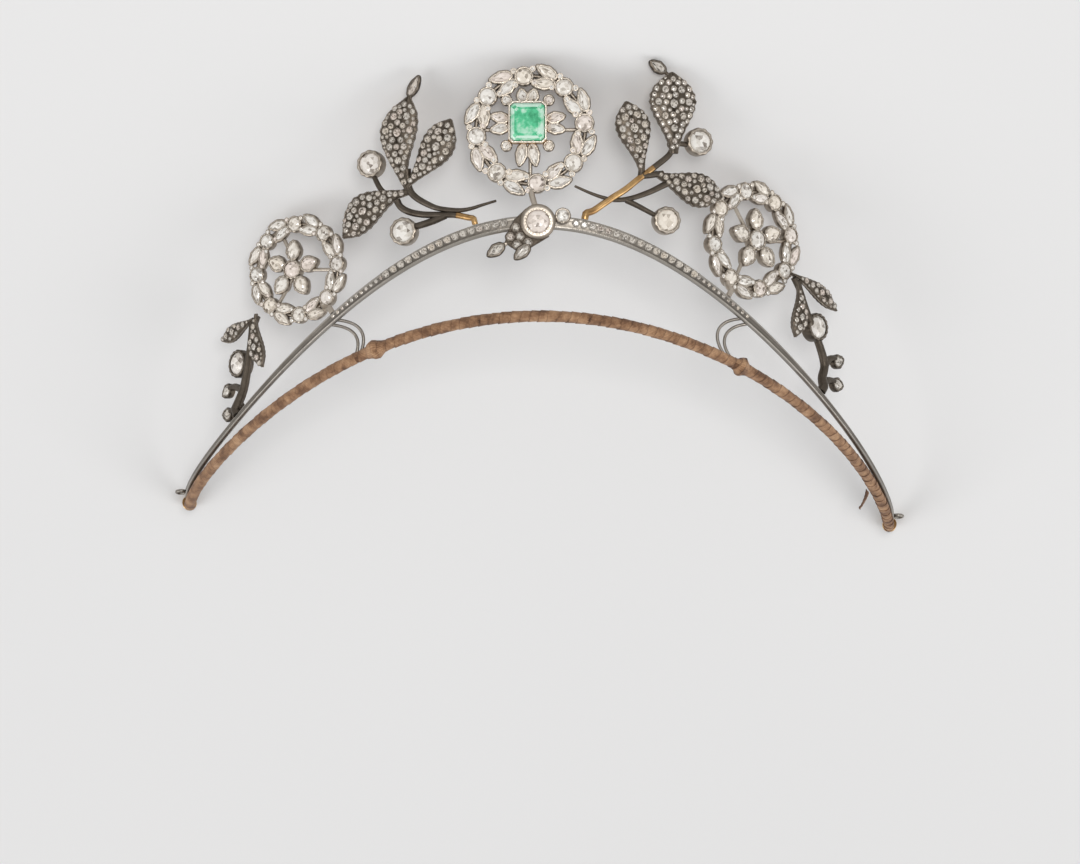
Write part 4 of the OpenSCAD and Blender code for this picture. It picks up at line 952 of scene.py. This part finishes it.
def makeCentre():
    c = centreMake
    metal, wreathStones, clusterStones = newPiece(silver, gold), newPiece(diamond), newPiece(diamond)
    at = flowerAt(c["row"])
    wreath(metal, wreathStones, at, c["wreathR"], c["stone"])
    inner = at @ shiftBy(*c["shift"])
    w, h = c["emerald"]
    for turned, upDown, long in c["sides"]:
        for side in (-1, 1):
            out = (h if upDown else w) / 2 + c["apart"] + long
            spot = inner @ turnZ(turned + side * c["spread"]) @ shiftBy(0, out)
            jewel(metal, clusterStones, spot, c["petalX"], long, c["petalDrawn"])
    for x, y in pairs:
        spot = inner @ shiftBy(x * (w / 2 + c["cornerOut"]), y * (h / 2 + c["cornerOut"]))
        jewel(metal, clusterStones, spot, c["corner"])
    spokes(metal, at, w / 2, c["wreathR"], (0, 180, 270))
    # the green stone's box: silver over a gold foot, with small claws
    seat, thick = c["seat"], gap + wall
    low = seat + w * c["steps"][-1][1] - thick
    rows = [(thick - 0.2, low, 0.3), (thick - 0.06, low + 0.15, 0.4), (thick, 0.2, 0.4), (thick, seat, 0.6),
            (thick - 0.06, seat + 0.22, 1.0), (gap + 0.14, seat + 0.3, 1.0), (gap - 0.02, seat + 0.24, 0.6),
            (gap - 0.04, seat - 0.2, 0.1)]
    box = loft([stepRing(w + 2 * g, h + 2 * g, z) for g, z, _ in rows], False, [tone for _, _, tone in rows])
    box["kinds"] = [1] * 8 * 4 + [0] * 8 * 3
    add(metal, box, inner)
    back = {"points": stepRing(w + 0.5, h + 0.5, low), "faces": [tuple(range(7, -1, -1))], "tone": [0.4] * 8}
    add(metal, back, inner, 1)
    for x, y in c["claws"]:
        k = c["clawIn"] if abs(x * y) == 1 else 1.0
        grain(metal, inner, x * (w / 2 + c["clawOut"]) * k, y * (h / 2 + c["clawOut"]) * k,
              seat + c["clawUp"], c["claw"])
    flowerStem(metal, c["row"], c["wreathR"])
    build(metal, "centre_flower_setting", "centre_setting")
    buildStones(wreathStones, "centre_wreath_stones")
    buildStones(clusterStones, "centre_cluster_stones")
    gem = newPiece(emeraldGlass)
    shape = loft([stepRing(w * q, h * q, w * z) for q, z in reversed(c["steps"])])
    # the green stone's facets get painted light and shade as well
    add(gem, paintFacetLight(shape, 0.04, 0.95, 0.85, 0.0), inner @ shiftBy(0, 0, seat), 0, 0.3)
    build(gem, "emerald_step_cut", "emerald", smooth=False)


makeCentre()

sideMake = {"wreathR": 10.7, "stone": 1.56, "heart": 1.9, "heartShift": 1.2,
            "petals": 5, "petalR": 4.55, "petal": (1.5, 1.95, 0.45),
            "flower_left": (-42.6, 0.555, 2, -33.4, 40, 10, 0.94),
            "flower_right": (36.1, 0.547, 2, 29.8, -40, 5, 1)}


def makeSideFlower(node):
    s, row = sideMake, sideMake[node]
    metal, stones, heart = newPiece(silver, gold), newPiece(diamond), newPiece(diamond)
    at = flowerAt(row)
    wreath(metal, stones, at, s["wreathR"], s["stone"])
    inner = at @ shiftBy(math.copysign(s["heartShift"], row[0]), 0)
    jewel(metal, heart, inner, s["heart"])
    for i in range(s["petals"]):
        jewel(metal, stones, inner @ turnZ(360 * i / s["petals"]) @ shiftBy(0, s["petalR"]), *s["petal"])
    spokes(metal, at, 0, s["wreathR"], (0, 120, 240))
    flowerStem(metal, row, s["wreathR"])
    build(metal, node + "_setting", node)
    buildStones(stones, node + "_stones")
    buildStones(heart, node + "_heart")


for node in ("flower_left", "flower_right"):
    makeSideFlower(node)

# Leaves, stems, sprays and sprigs
leafMake = {
    "length": 15, "width": 8.4, "thick": 1.9, "back": 0.3,
    "stemR": 0.65, "stemSides": 12, "stemParts": 7, "stemTone": 0.36, "goldTone": 0.65,
    # along the leaf: share of the length, of the half width, of the thickness
    "sections": [(0, 0.16, 0.5), (0.16, 0.3, 0.65), (0.33, 0.58, 0.85), (0.5, 0.88, 1),
                 (0.66, 1, 1), (0.81, 0.82, 0.9), (0.92, 0.42, 0.65), (1, 0.06, 0.45)],
    "along": 44, "half": 9,
    # its main stones: share of the length, of the half width, of the stone's radius
    "stones": [(0.15, 0, 0.6), (0.31, 0, 0.8), (0.46, -0.38, 0.8), (0.46, 0.38, 0.8), (0.61, 0, 1.1),
               (0.63, -0.66, 0.8), (0.63, 0.66, 0.8), (0.78, -0.34, 0.85), (0.78, 0.34, 0.85),
               (0.91, 0, 0.6)],
    "stoneHeight": 0.42, "pave": 0.95, "grains": 5, "grain": 0.13, "grainOut": 0.02, "grainUp": 0.06,
    "wires": [(0.05, 0.11, 24, 6, -0.04, 0.6), (0.02, 0.16, 18, 5, -0.28, 0.2)],
    # smaller stones: radii, rows, places across a row, room beside the edge and beside each other
    "fillers": (0.62, 0.5, 0.4, 0.31), "fillRows": 46, "fillAcross": 12, "edgeRoom": 0.22, "room": 0.12,
    "fillFrom": 0.08, "fillLength": 0.86, "fillUp": 0.02, "fillWire": (0.03, 0.07, 12, 5, 0, 0.8),
    "edgeUp": 0.05, "dome": 0.47, "domePower": 2.6, "vein": 0.14, "veinWidth": 0.07,
    "scallops": 11, "scallop": 0.03, "wire": 0.15, "milling": 0.05, "wireParts": 96, "wireUp": 0.08,
}
leafLine = np.array(smoothLine([vec(*row) for row in leafMake["sections"]], 8))


def leafAt(y):  # shares of the half width and the thickness at a share of the length
    return np.interp(y, leafLine[:, 0], leafLine[:, 1]), np.interp(y, leafLine[:, 0], leafLine[:, 2])


def leafTop(x, h):  # the domed top's height at a share of the half width
    return leafMake["thick"] * h * (leafMake["edgeUp"] + leafMake["dome"] * (1 - x ** leafMake["domePower"]))


def makeLeaf(metal, stones, row, mains):
    f, at = leafMake, onOrnament(*row[:4])
    length, half, bow = row[4] * f["length"], row[5] * f["width"] / 2, row[6]

    def middle(y):  # how far the leaf's middle line is bowed to the side
        return 4 * bow * length * y * (1 - y)

    def halfAt(y):  # with the scallops of its edge
        return leafAt(y)[0] * half * (1 + f["scallop"] * math.cos(2 * math.pi * y * f["scallops"]))

    def spot(x, y, z):  # x and y are shares of the half width and the length
        return (middle(y) + x * halfAt(y), (y - 0.5) * length, z)
    n, top = f["along"], 2 * f["half"]
    rings, tones = [], []
    for i in range(n + 1):
        y = i / n
        h = leafAt(y)[1]
        ring = []
        for j in range(top + 1):
            x = cosD(180 * j / top)
            vein = f["vein"] * math.exp(-(x / f["veinWidth"]) ** 2) * min(1, 4 * y * (1 - y))
            ring.append(spot(x, y, leafTop(abs(x), h) - vein))
            tones.append(0.42 - 0.3 * math.exp(-(x / 0.1) ** 2) + (0.3 if abs(x) > 0.97 else 0))
        for x, deep in ((-1, 0.7), (-0.85, 1), (0, 1), (0.85, 1), (1, 0.7)):
            ring.append(spot(x, y, -f["back"] * f["thick"] * h * deep))
            tones.append(0.5)
        rings.append(ring)
    shape = loft(rings, True, tones)
    m = len(rings[0])
    shape["kinds"] = [0 if k % m <= top or k % m == m - 1 else 1 for k in range(n * m)] + [0, 0]
    add(metal, shape, at)
    for side in (-1, 1):  # a milled wire round the edge
        path, radii = [], []
        for i in range(f["wireParts"] + 1):
            y = 0.01 + 0.98 * i / f["wireParts"]
            path.append(vec(middle(y) + side * max(halfAt(y) - 0.1, 0), (y - 0.5) * length,
                            f["thick"] * leafAt(y)[1] * f["wireUp"]))
            radii.append(f["wire"] + f["milling"] * math.cos(math.pi * i))
        wireTones = [0.95 if r > f["wire"] else 0.35 for r in radii]
        add(metal, tube(path, radii, 6, side=(0, 0, 1), tones=wireTones), at)
    taken, z = [], f["stoneHeight"] * f["thick"]
    for along, across, share in mains:
        x, y, r = middle(along) + across * half, (along - 0.5) * length, share * f["pave"]
        taken.append((x, y, r))
        setStone(stones, at @ shiftBy(x, y, z), r)
        for wire in f["wires"]:
            edgeWire(metal, at @ shiftBy(x, y), r, wire, z)
        out = r + f["grainOut"]
        for a in range(20, 380, 360 // f["grains"]):
            grain(metal, at, x + out * cosD(a), y + out * sinD(a), z + f["grainUp"], f["grain"])
    # smaller stones sunk in what is left of the leaf between them
    for r in f["fillers"]:
        for i in range(f["fillRows"]):
            share = f["fillFrom"] + f["fillLength"] * i / f["fillRows"]
            y, (w, h) = (share - 0.5) * length, leafAt(share)
            reach = w * half - r - f["edgeRoom"]
            for j in range(-f["fillAcross"], f["fillAcross"] + 1):
                out = j / f["fillAcross"] * reach
                x = middle(share) + out
                if reach < 0 or any(math.hypot(x - px, y - py) <= r + pr + f["room"] for px, py, pr in taken):
                    continue
                taken.append((x, y, r))
                z = leafTop(abs(out) / max(w * half, 0.01), h) + f["fillUp"]
                setRose(stones, at @ shiftBy(x, y, z), r)
                edgeWire(metal, at @ shiftBy(x, y), r, f["fillWire"], z)


def stemTubes(metal, row):  # a stem that starts on the band begins with an angle alone
    f, sides = leafMake, leafMake["stemSides"]
    for count, (r0, r1, points) in enumerate(row["stems"]):
        golden = row.get("gold", 0) * f["stemParts"] if count == 1 else 0
        line = [bandFoot(*q, wreathMake["footRise"]) if len(q) == 1 else spotAt(*q) for q in points]
        path = ([bandFoot(*points[0], 0)] if len(points[0]) == 1 else []) + smoothLine(line, f["stemParts"])
        n = len(path) - 1
        radii = [f["stemR"] * (r0 + (r1 - r0) * i / n) for i in range(n + 1)]
        tones = [f["goldTone"] if i < golden else f["stemTone"] for i in range(n + 1)]
        shape = tube(path, radii, sides, side=outPlan(points[0][0]), tones=tones)
        shape["kinds"] = [int(k // sides < golden) for k in range(n * sides)] + [0, 0]
        add(metal, shape)


# "round" and "collet" say how the round stones are set, "set" lists buds and round stones in their order
# a leaf: angle, rise share, set back, turn, shares of length and width, bow
# a bud: angle, rise share, set back, turn, both radii, how far it is drawn out
# a stem: its radius at both ends as shares, and the points that it passes: angle, rise share, set back
sprayMake = {
    "leafStones": leafMake["stones"], "round": 2.35, "collet": {"rim": 0.6, "scallops": 11, "front": 2},
    "finishes": (darkSilver, gold, silver),
    "spray_left": {
        "leaves": [(-20.6, 0.718, 0, 1, 1.36, 0.98, -0.12), (-17.31, 0.593, 0.3, -33.9, 1.15, 0.88, 0.05),
                   (-26.27, 0.42, 0.6, 122.4, 1.2, 0.92, 0.13)],
        "set": [("bud", -19.85, 1.045, 0.2, -27, 0.74, 2.15, 0.5),
                ("upper", -27.3, 0.757, 0.2), ("lower", -21.4, 0.205, -0.4)],
        "stems": [
            (0.4, 1.5, [(-6.7, 0.156, 0.2), (-8.9, 0.151, 0.3), (-10.7, 0.15, 0.3), (-12.6, 0.166, 0.3),
             (-15.5, 0.222, 0.4), (-17.2, 0.274, 0.5), (-19.4, 0.363, 0.6), (-20.6, 0.44, 0.6),
             (-20.9, 0.52, 0.5), (-21, 0.57, 0.4)]),
            (1, 1.2, [(-9.6,), (-11.2, 0.105, 0.3), (-13.2, 0.148, 0.5), (-15.5, 0.186, 0.6),
             (-18.3, 0.24, 0.7), (-20.6, 0.304, 0.9), (-22.1, 0.368, 0.9), (-22.7, 0.42, 0.8)]),
            (1.2, 1, [(-20.2, 0.42, 0.7), (-21, 0.44, 0.8), (-22.3, 0.45, 0.8)]),
            (1, 0.8, [(-24, 0.47, 1.1), (-25.6, 0.56, 1.1), (-26.6, 0.65, 1), (-27.1, 0.71, 0.9)]),
            (1.3, 1.1, [(-14.7, 0.17, 0.7), (-16.7, 0.172, 0.8), (-18.5, 0.183, 0.6), (-20, 0.2, 0.5)]),
            (0.7, 0.6, [(-20.8, 0.95, 0.5), (-20.5, 0.985, 0.5), (-20.1, 1.01, 0.6)])],
        "gold": 2},  # how many of the second stem's first points are gold
    "spray_right": {
        "leaves": [(14.61, 0.64, 0.5, 12, 1.04, 0.9, 0.02), (20.86, 0.904, 0, -0.2, 1.185, 1.24, 0),
                   (23.6, 0.532, 0.6, -107.9, 1.08, 0.88, 0.02)],
        "set": [("bud", 18.5, 1.135, 0.3, 56, 0.85, 1.7, 0.5),
                ("upper", 25.5, 0.844, 0.2), ("lower", 19.8, 0.236, -0.4)],
        "stems": [
            (0.4, 1.2, [(5.3, 0.234, 0.2), (7.6, 0.212, 0.3), (9.7, 0.205, 0.4), (11.6, 0.214, 0.6),
             (14.2, 0.264, 1), (17.1, 0.351, 1), (19.2, 0.43, 0.9), (20.5, 0.48, 0.8)]),
            (1.2, 1, [(6.6,), (8.2, 0.11, 0.4), (9.7, 0.165, 0.5), (11.3, 0.226, 0.5), (13.3, 0.303, 0.5),
             (15.5, 0.405, 0.7), (18.2, 0.53, 0.8), (20.6, 0.66, 0.6), (20.9, 0.76, 0.5)]),
            (1, 1, [(15.6, 0.4, 0.8), (15.8, 0.46, 0.8), (15.5, 0.52, 0.7)]),
            (1.2, 1, [(16, 0.43, 0.8), (17.8, 0.47, 0.8), (19.4, 0.51, 0.8)]),
            (1, 0.8, [(20.3, 0.7, 0.8), (21.8, 0.745, 1.1), (23.6, 0.78, 1.1), (25, 0.82, 0.9)]),
            (1, 0.8, [(13.4, 0.24, 1), (15.6, 0.235, 0.9), (18.4, 0.23, 0.6)]),
            (0.7, 0.6, [(20.7, 1.09, 0.5), (20.1, 1.12, 0.5), (19.4, 1.13, 0.7)])],
        "gold": 6},
}


sprigMake = {
    "leafStones": [(0.4, 0, 0.7), (0.6, 0, 0.9), (0.8, 0, 0.75)], "round": 2.45, "collet": {"rim": 0.6},
    "finishes": (darkSilver, gold),
    "sprig_left": {
        "leaves": [(-55.25, 0.528, -0.7, 112.9, 0.8, 0.44, 0), (-49.15, 0.304, -0.9, -164.8, 0.81, 0.5, 0.1)],
        "set": [("round", -56.14, 0.343), ("bud", -60, 0.262, 0.2, 125, 1.1, 1.5, 0.5),
                ("bud", -59.8, 0.114, 0.2, 90, 1.1, 1.5, 0.5)],
        "stems": [
            (1.7, 1, [(-55.6,), (-55, 0.142, 0.5), (-53.9, 0.22, 0.5), (-52.6, 0.326, 0.1),
             (-51.4, 0.42, -0.4), (-49.9, 0.47, -0.6)]),
            (1.2, 1, [(-52, 0.38, -0.2), (-51.6, 0.45, -0.4), (-51.9, 0.5, -0.5)]),
            (1.4, 1, [(-55.2, 0.16, 0.6), (-57.6, 0.235, 0.7), (-59.2, 0.262, 0.6)]),
            (1.4, 1, [(-55.4, 0.07, 0.5), (-57.5, 0.1, 0.6), (-59, 0.114, 0.6)])]},
    "sprig_right": {
        "leaves": [(47.72, 0.567, -0.7, -120.7, 1.03, 0.44, -0.06),
                   (43.44, 0.326, -0.9, 171.9, 0.76, 0.5, -0.1)],
        "set": [("round", 49.32, 0.403), ("bud", 55.4, 0.363, 0.2, -75, 1.1, 1.5, 0.5),
                ("bud", 55.1, 0.212, 0.2, -100, 1.1, 1.5, 0.5)],
        "stems": [
            (1.7, 1, [(49.6,), (50.9, 0.14, 0.6), (51.7, 0.24, 0.8), (50.4, 0.32, 0.8), (48, 0.38, 0.5),
             (46.2, 0.43, 0), (44.4, 0.49, -0.5), (43.1, 0.52, -0.6)]),
            (1.2, 1, [(45.3, 0.46, -0.3), (44.4, 0.51, -0.4), (44.6, 0.545, -0.5)]),
            (1.4, 1, [(51.6, 0.22, 0.8), (53, 0.31, 0.8), (54.6, 0.36, 0.6)]),
            (1.4, 1, [(50.7, 0.1, 0.5), (52.6, 0.17, 0.6), (54.3, 0.21, 0.6)])]},
}


def makeBranch(make, node):
    row = make[node]
    metal, stones = newPiece(*make["finishes"]), newPiece(shadedDiamond)
    for leaf in row["leaves"]:
        makeLeaf(metal, stones, leaf, make["leafStones"])
    stemTubes(metal, row)
    for part, *spot in row["set"]:
        if part == "bud":
            jewel(metal, stones, onOrnament(*spot[:4]), *spot[4:])
            continue
        single = newPiece(diamond)
        jewel(metal, single, onOrnament(*spot), make["round"], **make["collet"])
        buildStones(single, node + "_" + part + "_stone")
    build(metal, node + "_leaves_and_stems", node)
    buildStones(stones, node + "_stones")


for make, name in ((sprayMake, "spray"), (sprigMake, "sprig")):
    for side in ("_left", "_right"):
        makeBranch(make, name + side)

# Knot
knotMake = {
    "spot": (-0.3, 0), "stone": 2.5, "rim": 1.15, "side": (5.3, 1.35, -0.5), "sideStone": 1.3,
    "mills": 26, "millOut": 0.22, "mill": 0.16, "bodyThick": 1.6, "bodyTop": -0.4,
    "body": [(-2.6, 2.9), (-5, 0.6), (-6.3, -1.8), (-7.1, -4.4), (-5.6, -5.5), (-1.4, -5.4), (2.4, -3.1)],
    "small": 0.72, "smallAt": [(-4.75, -1.2), (-3.8, -3.1), (-2.1, -4.4), (-5.9, -3.2), (-4.5, -4.9)],
    "drops": [(-9, -6.1, 125), (-3.4, -6.5, 134)], "dropBack": -0.2, "drop": (0.9, 1.8, 0.5), "bar": 0.5,
}


def makeKnot():
    k = knotMake
    metal, large = newPiece(silver, gold, darkSilver), newPiece(diamond)
    sideStone, small = newPiece(diamond), newPiece(shadedDiamond)
    forward = stand["bandThick"] / 2 + gap + depthOf(k["stone"])
    forward += (k["stone"] + gap + k["rim"]) * tanD(stand["lean"])
    at = onOrnament(*k["spot"], -forward)
    collet(metal, at, k["stone"], rim=k["rim"], plain=True)
    r, top = k["stone"] + k["millOut"], cut["crown"] * k["stone"] * collar["top"] + 0.04
    for i in range(k["mills"]):  # a fine milled edge inside the broad rim
        a = 360 / k["mills"] * i
        grain(metal, at, r * cosD(a), r * sinD(a), top, k["mill"])
    setStone(large, at, k["stone"])
    corners = [vec(*q, 0) for q in k["body"]]
    centre = sum(corners) / len(corners)
    rings = [[centre + (q - centre) * share + vec(0, 0, k["bodyTop"] - deep) for q in corners]
             for share, deep in ((0.97, k["bodyThick"]), (1, k["bodyThick"] * 0.8), (1, 0.15), (0.96, 0))]
    add(metal, loft(rings, True, [0.3, 0.4, 0.5, 0.2]), at, 2)
    for x, y in k["smallAt"]:
        jewel(metal, small, at @ shiftBy(x, y, k["bodyTop"]), k["small"], front=2)
    jewel(metal, sideStone, at @ shiftBy(*k["side"]), k["sideStone"])
    for x, y, turned in k["drops"]:
        jewel(metal, small, at @ shiftBy(x, y, k["dropBack"]) @ turnZ(turned), *k["drop"], front=2)
    for x, y, _ in (k["side"], *k["drops"]):
        end = vec(x, y, 0)
        path = [end * i / 6 - vec(0, 0, cut["depth"] * k["sideStone"]) for i in range(7)]
        add(metal, tube(path, k["bar"], 10, side=(0, 0, 1)), at)
    build(metal, "knot_setting_milled", "knot_setting")
    buildStones(large, "knot_stone")
    buildStones(sideStone, "knot_side_stone")
    buildStones(small, "knot_leaf_stones")


makeKnot()

total = sum(len(p.vertices) - 2 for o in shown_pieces() if o.type == "MESH" for p in o.data.polygons)
print("all pieces made,", total, "triangles")
